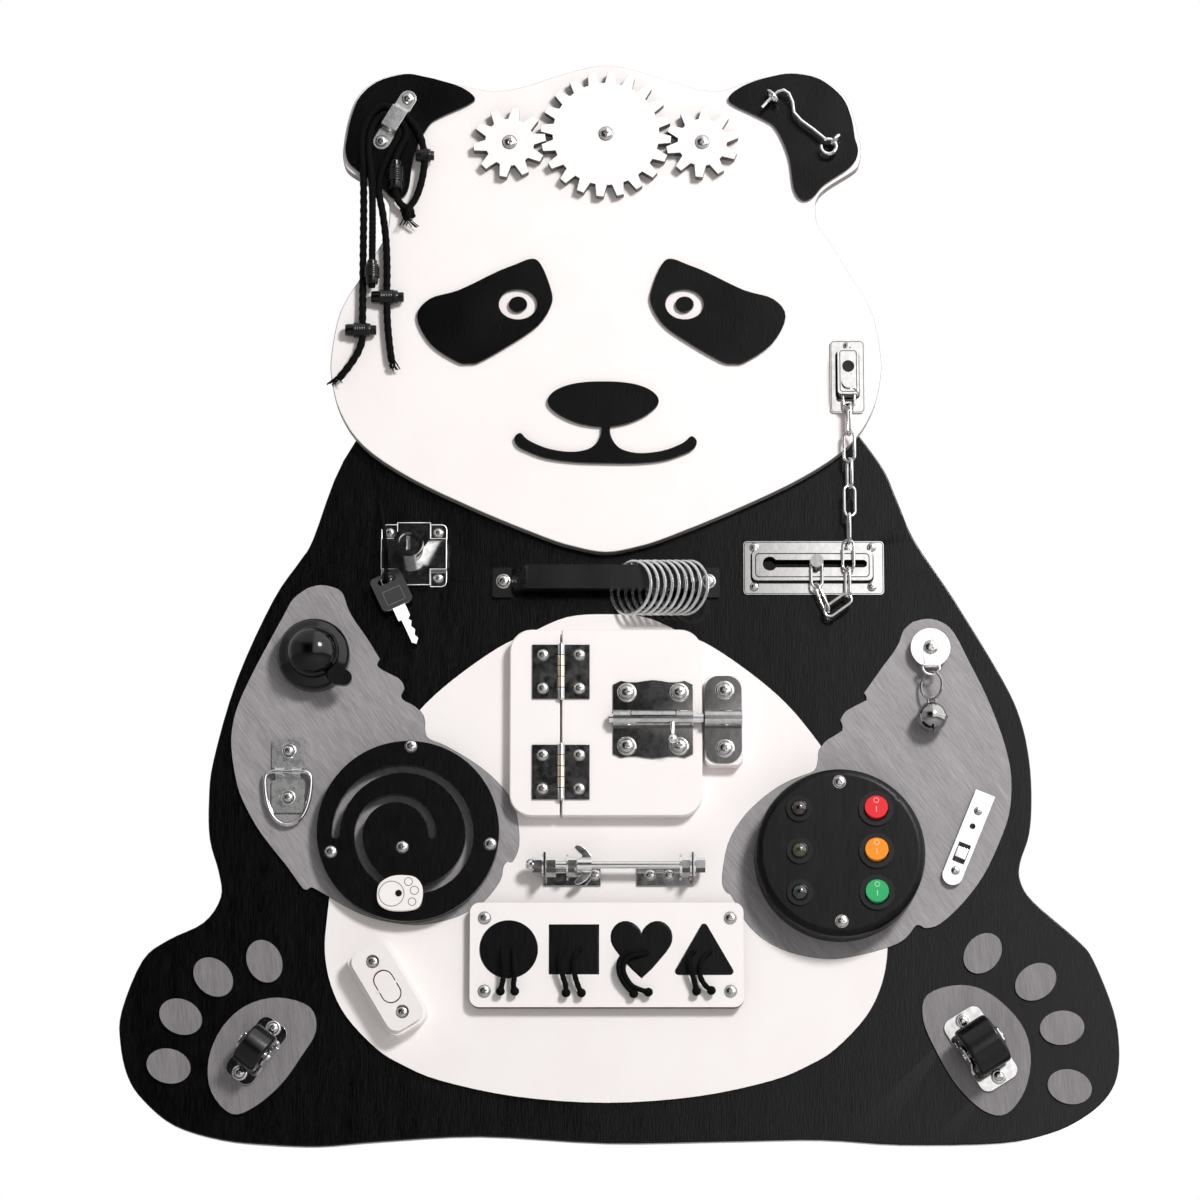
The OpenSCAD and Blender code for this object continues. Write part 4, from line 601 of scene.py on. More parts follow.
class Finishes:
    """Every finish of the board, by its use."""

    PAINT = ((0.93, 0.875, 0.86, 1), (0.91, 0.85, 0.835, 1))
    BLACK_BOARD = Wood("black_board", grey(0.0002, 0.03), grey(0.0052, 0.05), (0.11, 0.17), 0.14, shine=0.25)
    WHITE_BOARD = Finish("white_board", *PAINT, (0.5, 0.6), 0.06, 700, edge=grey(0.30, 0.04))
    WHITE_PANEL = Finish("white_panel", *PAINT, (0.5, 0.6), 0.06, 700, edge=grey(0.08, 0.15))
    WHITE_PART = Finish("white_part", *PAINT, (0.45, 0.55), 0.05, 700)
    # the dark cut sides of the gears are partly burnt laser edge and partly painted shade on the tooth walls
    GEAR_WOOD = Finish("gear_wood", *PAINT, (0.45, 0.55), 0.05, 700, edge=grey(0.07, 0.05))
    GREY_PANEL = Wood("grey_panel", (0.235, 0.220, 0.226, 1), (0.385, 0.362, 0.372, 1), (0.4, 0.55), 0.3,
                      shine=0.4, edge=grey(0.012, 0.1), turn=-36)
    GREY_PAD = Wood("grey_pad", (0.175, 0.163, 0.167, 1), (0.270, 0.253, 0.260, 1), (0.4, 0.55), 0.3,
                    shine=0.3, edge=grey(0.012, 0.1), turn=-6)
    BLACK_PATCH = Finish("black_patch", grey(0.0006), grey(0.0016), (0.14, 0.2), 0.15, 1100, shine=0.22)
    BLACK_CORD = Finish("black_cord", grey(0.0016), grey(0.004), (0.7, 0.9), 0.4, 2500, shine=0.08)
    BLACK_PLASTIC = Finish("black_plastic", grey(0.001), grey(0.0026), (0.2, 0.28), 0.08, 1800, shine=0.35)
    GLOSS_BLACK = Finish("gloss_black", grey(0.001), grey(0.002), (0.12, 0.2), 0.01, 500, shine=0.35)
    BRIGHT_STEEL = Metal("bright_steel", grey(0.86), grey(0.74, 0.02), (0.08, 0.14), 0.03)
    RING_STEEL = Metal("ring_steel", grey(0.9), grey(0.78, 0.02), (0.22, 0.32), 0.03)
    SATIN_STEEL = Metal("satin_steel", grey(0.95), grey(0.9, 0.02), (0.42, 0.5), 0.05)
    CHAIN_STEEL = Metal("chain_steel", grey(0.6, 0.02), grey(0.42, 0.04), (0.08, 0.16), 0.05)
    GUN_STEEL = Metal("gun_steel", grey(0.34, 0.02), grey(0.26, 0.03), (0.06, 0.1), 0.03)
    # dark steel that stands in for shade: painted shade in the screw crosses, at the screw seats, along the
    # plate seams, around the bolt slot and in the hinge gaps
    SHADE_STEEL = Metal("painted_shade_steel", grey(0.03), grey(0.02), (0.3, 0.4), 0.05)
    ZINC_STEEL = Metal("zinc_steel", grey(0.88, 0.02), grey(0.78, 0.04), (0.06, 0.12), 0.03)
    DARK_STEEL = Metal("dark_steel", grey(0.62), grey(0.42, 0.03), (0.2, 0.32), 0.12)
    MIRROR_STEEL = Metal("mirror_steel", grey(0.62, 0.01), grey(0.46, 0.03), (0.05, 0.12), 0.03)
    SCREW_STEEL = Metal("screw_steel", grey(0.56, 0.02), grey(0.4, 0.05), (0.12, 0.22), 0.04)
    BRASS_STEEL = Metal("brass_steel", (0.86, 0.70, 0.52, 1), (0.76, 0.62, 0.46, 1), (0.1, 0.2), 0.03)
    BLACK_WOOD = Wood("black_wood", grey(0.0006), grey(0.002), (0.18, 0.26), 0.06, shine=0.2,
                      edge=grey(0.02, 0.02))
    BOX_WOOD = Wood("box_wood", grey(0.0010, 0.05), grey(0.0045, 0.06), (0.3, 0.42), 0.08, shine=0.16)
    WHITE_PLASTIC = Finish("white_plastic", (0.9, 0.85, 0.835, 1), (0.875, 0.82, 0.8, 1), (0.28, 0.36),
                           0.03, 1500)
    KEY_PLASTIC = Finish("key_plastic", grey(0.026, 0.02), grey(0.038, 0.02), (0.4, 0.5), 0.12, 1500,
                         shine=0.3)
    LINE_GREY = Finish("line_grey", grey(0.09, 0.1), grey(0.12, 0.1), (0.5, 0.6), 0.02)
    RED_CAP, AMBER_CAP, GREEN_CAP = (
        Finish(name, colour, soiled, (0.3, 0.4), 0.02, 1200, shine=0.15) for name, colour, soiled in (
            ("red_cap", (0.80, 0.018, 0.026, 1), (0.62, 0.01, 0.016, 1)),
            ("amber_cap", (0.93, 0.30, 0.008, 1), (0.84, 0.22, 0.006, 1)),
            ("green_cap", (0.025, 0.38, 0.12, 1), (0.016, 0.29, 0.085, 1))))
    RED_LENS, AMBER_LENS, GREEN_LENS = (
        Finish(name, colour, soiled, (0.05, 0.09), 0.01, 800, 1.0) for name, colour, soiled in (
            ("red_lens", (0.012, 0.0012, 0.0014, 1), (0.008, 0.001, 0.001, 1)),
            ("amber_lens", (0.034, 0.030, 0.010, 1), (0.022, 0.02, 0.007, 1)),
            ("green_lens", (0.003, 0.010, 0.007, 1), (0.002, 0.008, 0.005, 1))))
    MARK_RED, MARK_AMBER, MARK_GREEN = (
        Finish(name, colour, soiled, (0.35, 0.45), 0.02) for name, colour, soiled in (
            ("mark_red", (0.95, 0.30, 0.26, 1), (0.9, 0.27, 0.24, 1)),
            ("mark_amber", (0.98, 0.50, 0.24, 1), (0.92, 0.45, 0.2, 1)),
            ("mark_green", (0.25, 0.66, 0.36, 1), (0.22, 0.6, 0.32, 1))))


# ---- view and light ----


@dataclass
class Studio:
    """The camera, the lamps, the floor and the surroundings."""

    aim: Vector = field(default_factory=lambda: metres(-3.84, -10, 3.9))
    distance: float = 3.0
    below: float = 12.0
    lens: float = 140.625
    sensor: float = 36.0
    reach: float = 20.0
    floor_level: float = -0.95
    floor_half: float = 6.0
    even_light: float = 0.24
    lamps: tuple[tuple[str, Point, float, float, bool], ...] = (
        ("key_lamp", (0.95, -1.9, 0.95), 0.42, 43.0, True), ("fill_lamp", (0.9, -3.0, 0.2), 2.4, 6.5, False))
    bright_sides: tuple[tuple[str, float, float, float], ...] = (
        ("X", 0.012, 0.05, 0.95), ("Z", 0.42, 0.62, 0.9), ("X", -0.5, -0.75, 0.5), ("Y", 0.0, 0.3, 0.8))

    def camera(self) -> None:
        """Looks at the board from a little below."""
        data = bpy.data.cameras.new("camera")
        data.lens, data.sensor_width, data.clip_end = self.lens, self.sensor, self.reach
        eye = bpy.data.objects.new("camera", data)
        tilt = math.radians(self.below)
        eye.location = self.aim + self.distance * Vector((0, -math.cos(tilt), -math.sin(tilt)))
        eye.rotation_euler = (self.aim - eye.location).to_track_quat("-Z", "Y").to_euler()
        bpy.context.scene.collection.objects.link(eye)
        bpy.context.scene.camera = eye

    def light(self) -> None:
        """Adds the soft square lamps; shiny surfaces mirror only the first."""
        for name, place, size, power, mirrored in self.lamps:
            data = bpy.data.lights.new(name, "AREA")
            data.shape, data.size, data.energy = "SQUARE", size, power
            lamp = bpy.data.objects.new(name, data)
            lamp.location = place
            lamp.rotation_euler = (-lamp.location).to_track_quat("-Z", "Y").to_euler()
            lamp.visible_glossy = mirrored
            bpy.context.scene.collection.objects.link(lamp)

    def surroundings(self) -> None:
        """White where the camera looks, soft even light, and dark and bright sides for shiny surfaces."""
        world = bpy.data.worlds.new("surroundings")
        bpy.context.scene.world = world
        world.use_nodes = True
        world.cycles.sampling_method = "NONE"
        tree = world.node_tree
        tree.nodes.clear()
        path = add(tree, "LightPath").outputs
        side = add(tree, "SeparateXYZ", {0: add(tree, "TexCoord").outputs["Generated"]}).outputs
        level = sum_of(tree, "MULTIPLY", ranged(tree, side["X"], 0.2, 0.5, 0.0, 1.0),
                       ranged(tree, side["Z"], -0.1, 0.05, 0.0, 1.0))
        for axis, start, end, most in self.bright_sides:
            level = sum_of(tree, "MAXIMUM", level, ranged(tree, side[axis], start, end, 0.0, most))
        seen = add(tree, "Background", {"Color": (1, 1, 1, 1)})
        lit = add(tree, "Background", {"Color": (1.0, 0.99, 0.98, 1), "Strength": self.even_light})
        glossy = add(tree, "Background", {"Color": mixed(tree, level, grey(0.012), grey(1.0)),
                                          "Strength": ranged(tree, side["X"], 0.03, 0.12, 1.0, 2.0)})
        first = add(tree, "MixShader", {0: path["Is Glossy Ray"], 1: lit.outputs[0], 2: glossy.outputs[0]})
        clear = sum_of(tree, "MAXIMUM", path["Is Camera Ray"], path["Is Transmission Ray"])
        second = add(tree, "MixShader", {0: clear, 1: first.outputs[0], 2: seen.outputs[0]})
        add(tree, "OutputWorld", {0: second.outputs[0]})

    def floor(self) -> None:
        """A plain pale floor well below the board."""
        shape = bmesh.new()
        bmesh.ops.create_grid(shape, x_segments=1, y_segments=1, size=self.floor_half)
        bmesh.ops.translate(shape, verts=shape.verts, vec=(0, 0, self.floor_level))
        floor = new_object("floor", shape)
        material = bpy.data.materials.new("pale_floor")
        material.use_nodes = True
        tree = material.node_tree
        principled = tree.nodes["Principled BSDF"]
        connect(tree, principled, {"Base Color": (0.9, 0.9, 0.9, 1), "Roughness": 0.9})
        share = sum_of(tree, "MULTIPLY", add(tree, "LightPath").outputs["Is Camera Ray"], 0.95)
        glow = add(tree, "Emission").outputs[0]
        blend = add(tree, "MixShader", {0: share, 1: principled.outputs[0], 2: glow})
        connect(tree, tree.nodes["Material Output"], {0: blend.outputs[0]})
        floor.data.materials.append(material)

    def build(self) -> None:
        """Sets up the view and the light."""
        bpy.context.scene.view_settings.view_transform = "Standard"
        bpy.context.scene.cycles.caustics_reflective = False
        self.camera()
        self.surroundings()
        self.floor()
        self.light()
        LOG.info("camera, lamps and floor are set")


# ---- cords ----


@dataclass
class BraidedCord:
    """A round braided cord along a few chosen points, in millimetres."""

    name: str
    route: list[Point]
    radius: float
    sides: int = 16
    ring: float = 0.8
    curve_steps: int = 12
    lump_pitch: float = 2.4
    lump_share: float = 0.16

    def line(self) -> list[Vector]:
        """Divides the smooth line through the route into even short steps.

        Returns:
            The centre line, in metres.
        """
        curve = smooth_line([metres(*p) for p in self.route], self.curve_steps)
        even, left = [curve[0]], self.ring * MM
        for a, b in zip(curve, curve[1:]):
            stretch, done = (b - a).length, 0.0
            while stretch - done >= left:
                done += left
                even.append(a.lerp(b, done / stretch))
                left = self.ring * MM
            left -= stretch - done
        return even + [curve[-1]]

    def build(self) -> Piece:
        """Makes the cord with the lumps of its braid.

        Returns:
            The cord.
        """
        line = self.line()
        shape = bmesh.new()
        side = Vector((0.31, 0.77, 0.55)).normalized()
        rings, run, last = [], 0.0, len(line) - 1
        for i, point in enumerate(line):
            ahead = (line[min(i + 1, last)] - line[max(i - 1, 0)]).normalized()
            side = (side - ahead * side.dot(ahead)).normalized()
            across = ahead.cross(side)
            run += (point - line[max(i - 1, 0)]).length
            wave = 0.5 * math.tau * run / (self.radius * MM * self.lump_pitch)
            ring = []
            for turn in (math.tau * k / self.sides for k in range(self.sides)):
                lump = abs(math.sin(wave + 2 * turn)) * abs(math.sin(wave - 2 * turn))
                reach = self.radius * MM * (1 - self.lump_share + self.lump_share * lump)
                outward = side * math.cos(turn) + across * math.sin(turn)
                ring.append(shape.verts.new(point + reach * outward))
            rings.append(ring)
        skin(shape, rings)
        return new_object(self.name, shape, 180.0)

    def hang(self, cad_node: str, far_end: str, holds: tuple[Piece, ...] = ()) -> None:
        """Makes the cord in the place of a CAD node.

        Args:
            cad_node: The CAD node that it stands for.
            far_end: What is on its far end; not used.
            holds: The pieces that hang on it; not used.
        """
        cord, line = self.build(), self.line()
        put(cord, "board", Finishes.BLACK_CORD, (cad_node,))


@dataclass
class Lacing:
    """The two cords on the left ear, with their knot and loose strands."""

    depth: float = -25.2
    seed: int = 11
    shift: float = -2.0
    radius: float = 2.5
    knot_radius: float = 2.1
    knot_at: Point = (-128.5, -1.0, 256.5)
    knot_start: float = -3.2
    knot_pitch: float = 0.55
    knot_reach: Flat = (2.7, 3.0)
    knot_turn: float = 0.7
    knot_points: int = 13
    strand_steps: int = 4
    strand_reach: Flat = (3.0, 8.0)
    strand_thick: Flat = (0.32, 0.55)
    strand_lean: float = 0.5
    strand_lift: float = 1.5
    spread: Flat = (1.8, 1.2)
    curl: Flat = (0.25, 0.2)
    long_cord: list[Point] = field(default_factory=lambda: [
        (-170, 0, 146), (-161, 0, 158), (-155.5, 0, 170), (-155, 0, 186), (-155, 0, 209),
        (-155, 0, 235), (-155, 0, 262), (-155.5, 0, 284), (-156.5, 0, 298), (-156, 0, 311),
        (-151.5, 0, 323), (-144.5, 0, 329.5), (-138.5, 0, 328.4), (-132.9, 0, 325),
        (-126.5, 0, 321.2), (-120.5, -1.5, 313), (-117, -2.6, 302), (-115.8, -2.6, 290),
        (-118, -2, 276), (-122, -1, 265.5), (-127, -1, 260.5), (-132, -2, 264), (-134.5, -3, 272),
        (-134.5, -3, 282), (-134.5, -3, 292), (-131.5, -2, 300.5), (-128, 0, 308.5),
        (-129.5, 0, 317), (-135.5, 0, 320.5), (-141.5, 0, 324), (-148.3, 0, 318.5),
        (-152, 0, 308), (-152, 0, 296), (-150.3, -2, 284), (-149.3, -4, 268), (-149, -4, 248),
        (-149, -4, 226), (-149, -4, 206)])
    short_cord: list[Point] = field(default_factory=lambda: [
        (-144, 0, 319.4), (-138.1, 0, 316), (-132.6, 0, 311.5), (-137.8, 0, 299),
        (-142.5, 0, 288), (-145.5, 0, 274), (-142.5, 0, 256), (-140.3, 0, 238), (-139.5, 0, 220),
        (-139.5, 0, 202), (-139, 0, 186), (-137.8, 0, 172), (-136, 0, 158)])
    strands: tuple[tuple[Point, Flat, int], ...] = (
        ((-172, 0, 146), (-0.55, -0.8), 12), ((-138, 0, 158), (0.1, -1.0), 14),
        ((-129, -1, 253), (0.25, -0.95), 12))

    def build(self) -> None:
        """Makes both cords, the knot and the strands."""
        for name, route in (("long_lacing_cord", self.long_cord), ("short_lacing_cord", self.short_cord)):
            placed = [(x + self.shift, self.depth + y, z) for x, y, z in route]
            BraidedCord(name, placed, self.radius).hang("lacing_cords", "bare")
        self.knot()
        self.frays()

    def knot(self) -> None:
        """Makes the knot at the lowest point of the loop."""
        (x, y, z), (deep, high) = self.knot_at, self.knot_reach
        turns = [(x + self.knot_start + self.knot_pitch * k,
                  self.depth + y + deep * math.sin(self.knot_turn * k),
                  z + high * math.cos(self.knot_turn * k)) for k in range(self.knot_points)]
        put(BraidedCord("lacing_knot", turns, self.knot_radius).build(), "board", Finishes.BLACK_CORD)

    def frays(self) -> None:
        """Makes the loose strands at the cord ends and under the knot."""
        dice = random.Random(self.seed)
        strands = bmesh.new()

        def either_way(most: float) -> float:
            """A random number of either sign, of at most the given size."""
            return dice.uniform(-most, most)

        for (x, y, z), (ahead_x, ahead_z), count in self.strands:
            for _ in range(count):
                lean, reach = either_way(self.strand_lean), dice.uniform(*self.strand_reach)
                points = [metres(x + either_way(self.spread[0]), self.depth + y + either_way(self.spread[1]),
                                 z + self.strand_lift)]
                for step in range(self.strand_steps):
                    bend = lean * (1 + 0.5 * step) + either_way(self.curl[0])
                    ahead = metres(ahead_x + bend, either_way(self.curl[1]), ahead_z)
                    points.append(points[-1] + ahead * reach / self.strand_steps)
                join(strands, thin_tube(points, dice.uniform(*self.strand_thick)))
        put(new_object("lacing_strands", strands, 180.0), "board", Finishes.BLACK_CORD)


@dataclass
class KeyCord:
    """The cord that holds the key on the board."""

    radius: float = 1.4
    board_front: float = -10.0
    route: list[Point] = field(default_factory=lambda: [
        (-145, 4, 67.8), (-145, -0.5, 67.8), (-144.8, -3.6, 65.4), (-144, -6.5, 60),
        (-142.8, -9.5, 53), (-141.5, -12.2, 44), (-140.8, -13.4, 34), (-140.4, -14.2, 25),
        (-140.3, -14.6, 19.5), (-140.2, -14, 15.6), (-140.1, -11, 14.6), (-140, -7.6, 14.5)])

    def build(self) -> None:
        """Makes the cord."""
        placed = [(x, self.board_front + y, z) for x, y, z in self.route]
        cord = BraidedCord("key_hanging_cord", placed, self.radius)
        cord.hang("key_cord", "fitting", (frame["nodes"]["key"],))


# ---- fasteners ----


@dataclass
class CrossScrews:
    """Pan-head screws with a cross recess and their cup washers, one for each solid of a CAD node."""

    node: str
    seed: int = 3
    thinnest: float = 1.5 * MM
    hole: float = 1.85
    shank: float = 1.68
    crown: float = 0.56
    arm: Point = (1.3, 0.56, 0.3)
    arm_depth: float = -0.53
    arm_floor: float = -0.5
    narrowing: Flat = (0.45, 0.6)
    cross_reach: float = 0.66
    wall: Flat = (-0.55, -0.15)
    floor: Flat = (-0.9, -0.4)
    outline: tuple[Flat, ...] = ((0, 0), (1, 0), (1, 0.16), (0.94, 0.32), (0.82, 0.44), (0.62, 0.51),
                                 (0.3, 0.55), (0, 0.56))
    # a thin ring at the seat that carries a painted contact shadow
    gap: tuple[Flat, ...] = ((0.96, 0), (1.11, 0), (1.11, 0.04), (0.96, 0.04))

    def cross(self) -> Shape:
        """Makes the shape that cuts the cross; its arms narrow towards their floor.

        Returns:
            The shape, in units of the head's radius.
        """
        shape = bmesh.new()
        for turn in (0, QUARTER):
            arm = bmesh.ops.create_cube(shape, size=1.0)["verts"]
            bmesh.ops.scale(shape, verts=arm, vec=self.arm)
            bmesh.ops.translate(shape, verts=arm, vec=(0, self.arm_depth, 0))
            for vert in arm:
                if vert.co.y > self.arm_floor:
                    vert.co.x *= self.narrowing[0]
                    vert.co.z *= self.narrowing[1]
            bmesh.ops.rotate(shape, verts=arm, cent=(0, 0, 0), matrix=Matrix.Rotation(turn, 3, "Y"))
        return shape

    def head(self) -> Shape:
        """Makes a domed head of radius 1 with a cross recess and a dark ring around it; the recess faces and
        the ring carry painted shade.

        Returns:
            The head around the origin, its seat at depth 0.
        """
        body = new_object("screw_in_hand", turned_profile([(r / MM, d / MM) for r, d in self.outline], 40))
        cutter = new_object("cross_in_hand", self.cross())
        cut = body.modifiers.new("cross", "BOOLEAN")
        cut.object, cut.operation, cut.solver, cut.use_self = cutter, "DIFFERENCE", "EXACT", True
        bpy.context.view_layer.update()
        result = bmesh.new()
        result.from_mesh(body.evaluated_get(bpy.context.evaluated_depsgraph_get()).to_mesh())
        for used in (body, cutter):
            bpy.data.objects.remove(used)
        # faces on the walls and floor of the cross get painted shade
        for face in result.faces:
            at, up = face.calc_center_median(), face.normal.y
            on_wall = up > self.wall[0] and at.y < self.wall[1]
            on_floor = up < self.floor[0] and at.y > self.floor[1]
            if math.hypot(at.x, at.z) < self.cross_reach and (on_wall or on_floor):
                face.material_index = 1
        gap = turned_profile([(r / MM, d / MM) for r, d in self.gap], 40, True)
        for face in gap.faces:
            face.material_index = 1
        join(result, gap)
        return result

    def washer(self, radius: float, height: float) -> Shape:
        """A cup washer whose rim lies on the plate and whose cup holds the screw's head.

        Args:
            radius: Its outer radius, in millimetres.
            height: Its height, in millimetres.

        Returns:
            The washer around the origin, its seat at depth 0.
        """
        return turned_profile([
            (self.hole, 0), (radius, 0), (radius, 0.25 * height), (0.95 * radius, 0.6 * height),
            (0.86 * radius, 0.92 * height), (0.78 * radius, height), (0.70 * radius, 0.92 * height),
            (0.62 * radius, 0.5 * height), (self.hole, 0.45 * height)], 40, True)

    def build(self) -> None:
        """Puts a head and a shank, or a washer, where each CAD solid is."""
        head, screws = self.head(), bmesh.new()
        dice = random.Random(self.seed)
        for points, low, high in solids(self.node):
            radius = (high.x - low.x) / 2
            back = Vector(((low.x + high.x) / 2, high.y, (low.z + high.z) / 2))
            if high.y - low.y < self.thinnest:
                join(screws, self.washer(radius / MM, (high.y - low.y) / MM), Matrix.Translation(back))
                continue
            levels = sorted({round(p.y - low.y, 5) for p in points})
            seat = low.y + (levels[1] if len(levels) > 1 else levels[0])
            squeeze = Matrix.Diagonal((radius, (seat - low.y) / self.crown, radius, 1))
            turn = Matrix.Rotation(dice.uniform(0, math.tau), 4, "Y")
            join(screws, head, Matrix.Translation((back.x, seat, back.z)) @ turn @ squeeze, keep=True)
            length = (high.y - seat) / MM
            shank = turned_profile([(0, 0), (self.shank, 0), (self.shank, length), (0, length)], 20)
            join(screws, shank, Matrix.Translation(back))
        head.free()
        piece = put(new_object(f"{self.node}_heads", screws), body_of_node(self.node), Finishes.SCREW_STEEL,
                    (self.node,))
        # second slot: painted shade for the cross and the seat ring
        piece.data.materials.append(Finishes.SHADE_STEEL.material())


# ---- chain and rings ----


def wire_loop(half: float, bend: float, wire: float, steps: int = 10, sides: int = 12) -> Shape:
    """A long closed link of round wire around the origin, its length along Z.

    Args:
        half: Half length to the middle of the wire, in millimetres.
        bend: Radius of its two bends, in millimetres.
        wire: Radius of the wire, in millimetres.
        steps: Faces along each bend.
        sides: Faces round the wire.

    Returns:
        The link.
    """
    shape = bmesh.new()
    ring = bmesh.ops.create_circle(shape, cap_ends=False, segments=sides, radius=wire * MM)["verts"]
    bmesh.ops.translate(shape, verts=ring, vec=metres(bend, 0, -(half - bend)))
    geometry = ring + list({e for v in ring for e in v.link_edges})
    for turn in (1, -1):
        open_edges = [g for g in geometry if isinstance(g, bmesh.types.BMEdge)]
        made = bmesh.ops.extrude_edge_only(shape, edges=open_edges)["geom"]
        verts = [g for g in made if isinstance(g, bmesh.types.BMVert)]
        bmesh.ops.translate(shape, verts=verts, vec=metres(0, 0, turn * (half - bend) * 2))
        edges = [g for g in made if isinstance(g, bmesh.types.BMEdge)]
        geometry = list(bmesh.ops.spin(
            shape, geom=verts + edges, cent=metres(0, 0, turn * (half - bend)), axis=(0, 1, 0),
            angle=-math.pi, steps=steps, use_merge=False, use_duplicate=False)["geom_last"])
    bmesh.ops.remove_doubles(shape, verts=shape.verts, dist=MERGE_CLOSE)
    return shape


@dataclass
class DoorChain:
    """The links between the anchor on the head and the slider on the body."""

    wire: float = 1.0
    bend: float = 3.6
    half: float = 9.9
    gap: float = 0.15
    top: Point = (155.8, -29.0, 136.0)
    low_x: float = 154.0
    low_depth: float = -22.2
    upright: int = 4
    turns: tuple[float, ...] = (10, 78, 24, 68, -14, 84, 16, 70)
    slider: Flat = (134.4, 26.2)
    stem: float = 2.1
    tail_lean: Flat = (0.4, -0.9165)

    def link(self, target: Shape, place: Point, run: Flat, turn: float) -> None:
        """Adds one link.

        Args:
            target: The shape that takes the link.
            place: Its centre, in millimetres.
            run: Direction of its length in X and Z.
            turn: Its turn about its own length, in degrees; at 0 its flat side faces the front.
        """
        lean = Matrix.Translation(metres(*place)) @ Matrix.Rotation(math.atan2(*run), 4, "Y")
        part = wire_loop(self.half, self.bend, self.wire)
        join(target, part, lean @ Matrix.Rotation(math.radians(turn), 4, "Z"))

    def build(self) -> None:
        """Makes the hanging part and the tail, which rides on the slider."""
        pitch = 2 * self.half - 2 * self.wire - self.gap
        x0, y0, z0 = self.top
        count = len(self.turns)
        hang, tail = bmesh.new(), bmesh.new()
        for i, turn in enumerate(self.turns):
            x = x0 + (self.low_x - x0) * max(i - self.upright, 0) / (count - 1 - self.upright)
            self.link(hang, (x, y0 + (self.low_depth - y0) * i / count, z0 - i * pitch), (0, -1), turn)
        hanging = new_object("hanging_chain", hang)
        put(hanging, "", Finishes.CHAIN_STEEL, ("door_chain",))
        end = Vector((self.low_x, z0 - (count - 1) * pitch - self.half))
        top = Vector((self.slider[0], self.slider[1] + self.stem + self.gap + self.wire - 2 * self.half))
        lean = Vector(self.tail_lean)
        low = top + pitch * lean
        middle, mid_tail = (low + end) / 2, top + (self.half - 2 * self.wire - self.gap) * lean
        for at, run, turn in ((middle, (low - end).normalized(), 0.0), (mid_tail, lean, 72.0),
                              (top + Vector((0, self.half)), (0, 1), 10.0)):
            self.link(tail, (at.x, self.low_depth, at.y), tuple(run), turn)
        put(new_object("chain_tail", tail), "slider", Finishes.CHAIN_STEEL)
        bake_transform(hanging)


@dataclass
class SplitRings:
    """Flat coiled key rings that hang on the handle bar."""

    outer: float = 18.0
    wire: float = 1.0
    flatness: float = 0.62
    lean: float = 43.0
    steps: int = 96
    open_end: float = 0.25
    rise: float = 1.15

    def build(self) -> None:
        """Puts a two-turn ring where each CAD ring is."""
        rings, coil = bmesh.new(), self.coil()
        dice = random.Random(5)
        turn = Matrix.Rotation(math.radians(-self.lean), 4, "Z")
        for _, low, high in solids("key_rings"):
            spin = Matrix.Rotation(dice.uniform(0, math.tau), 4, "Y")
            join(rings, coil, Matrix.Translation((low + high) / 2) @ turn @ spin, keep=True)
        coil.free()
        put(new_object("split_rings", rings), "rings", Finishes.RING_STEEL, ("key_rings",))

    def coil(self) -> Shape:
        """Winds two flat turns of wire around the Y axis.

        Returns:
            The coil around the origin.
        """
        shape = bmesh.new()
        ring = bmesh.ops.create_circle(shape, cap_ends=True, segments=10, radius=self.wire * MM)["verts"]
        bmesh.ops.scale(shape, verts=ring, vec=(1.0, self.flatness, 1.0))
        bmesh.ops.translate(shape, verts=ring, vec=metres(self.outer - self.wire, self.wire * 0.5, 0))
        geometry = ring + list({e for v in ring for e in v.link_edges}) + list(shape.faces)
        bmesh.ops.spin(shape, geom=geometry, cent=(0, 0, 0), axis=(0, 1, 0), steps=self.steps,
                       angle=2 * math.tau - self.open_end, use_merge=False, use_duplicate=False,
                       dvec=metres(0, -self.wire / self.steps * self.rise, 0))
        return shape


# ---- softened CAD pieces ----


class Edge(Enum):
    """How strongly the edges of a piece are rounded, in millimetres."""

    CRISP = 0.25
    EASED = 0.5
    SOFT = 0.9
    DEEP = 2.2
    PILLOW = 3.4


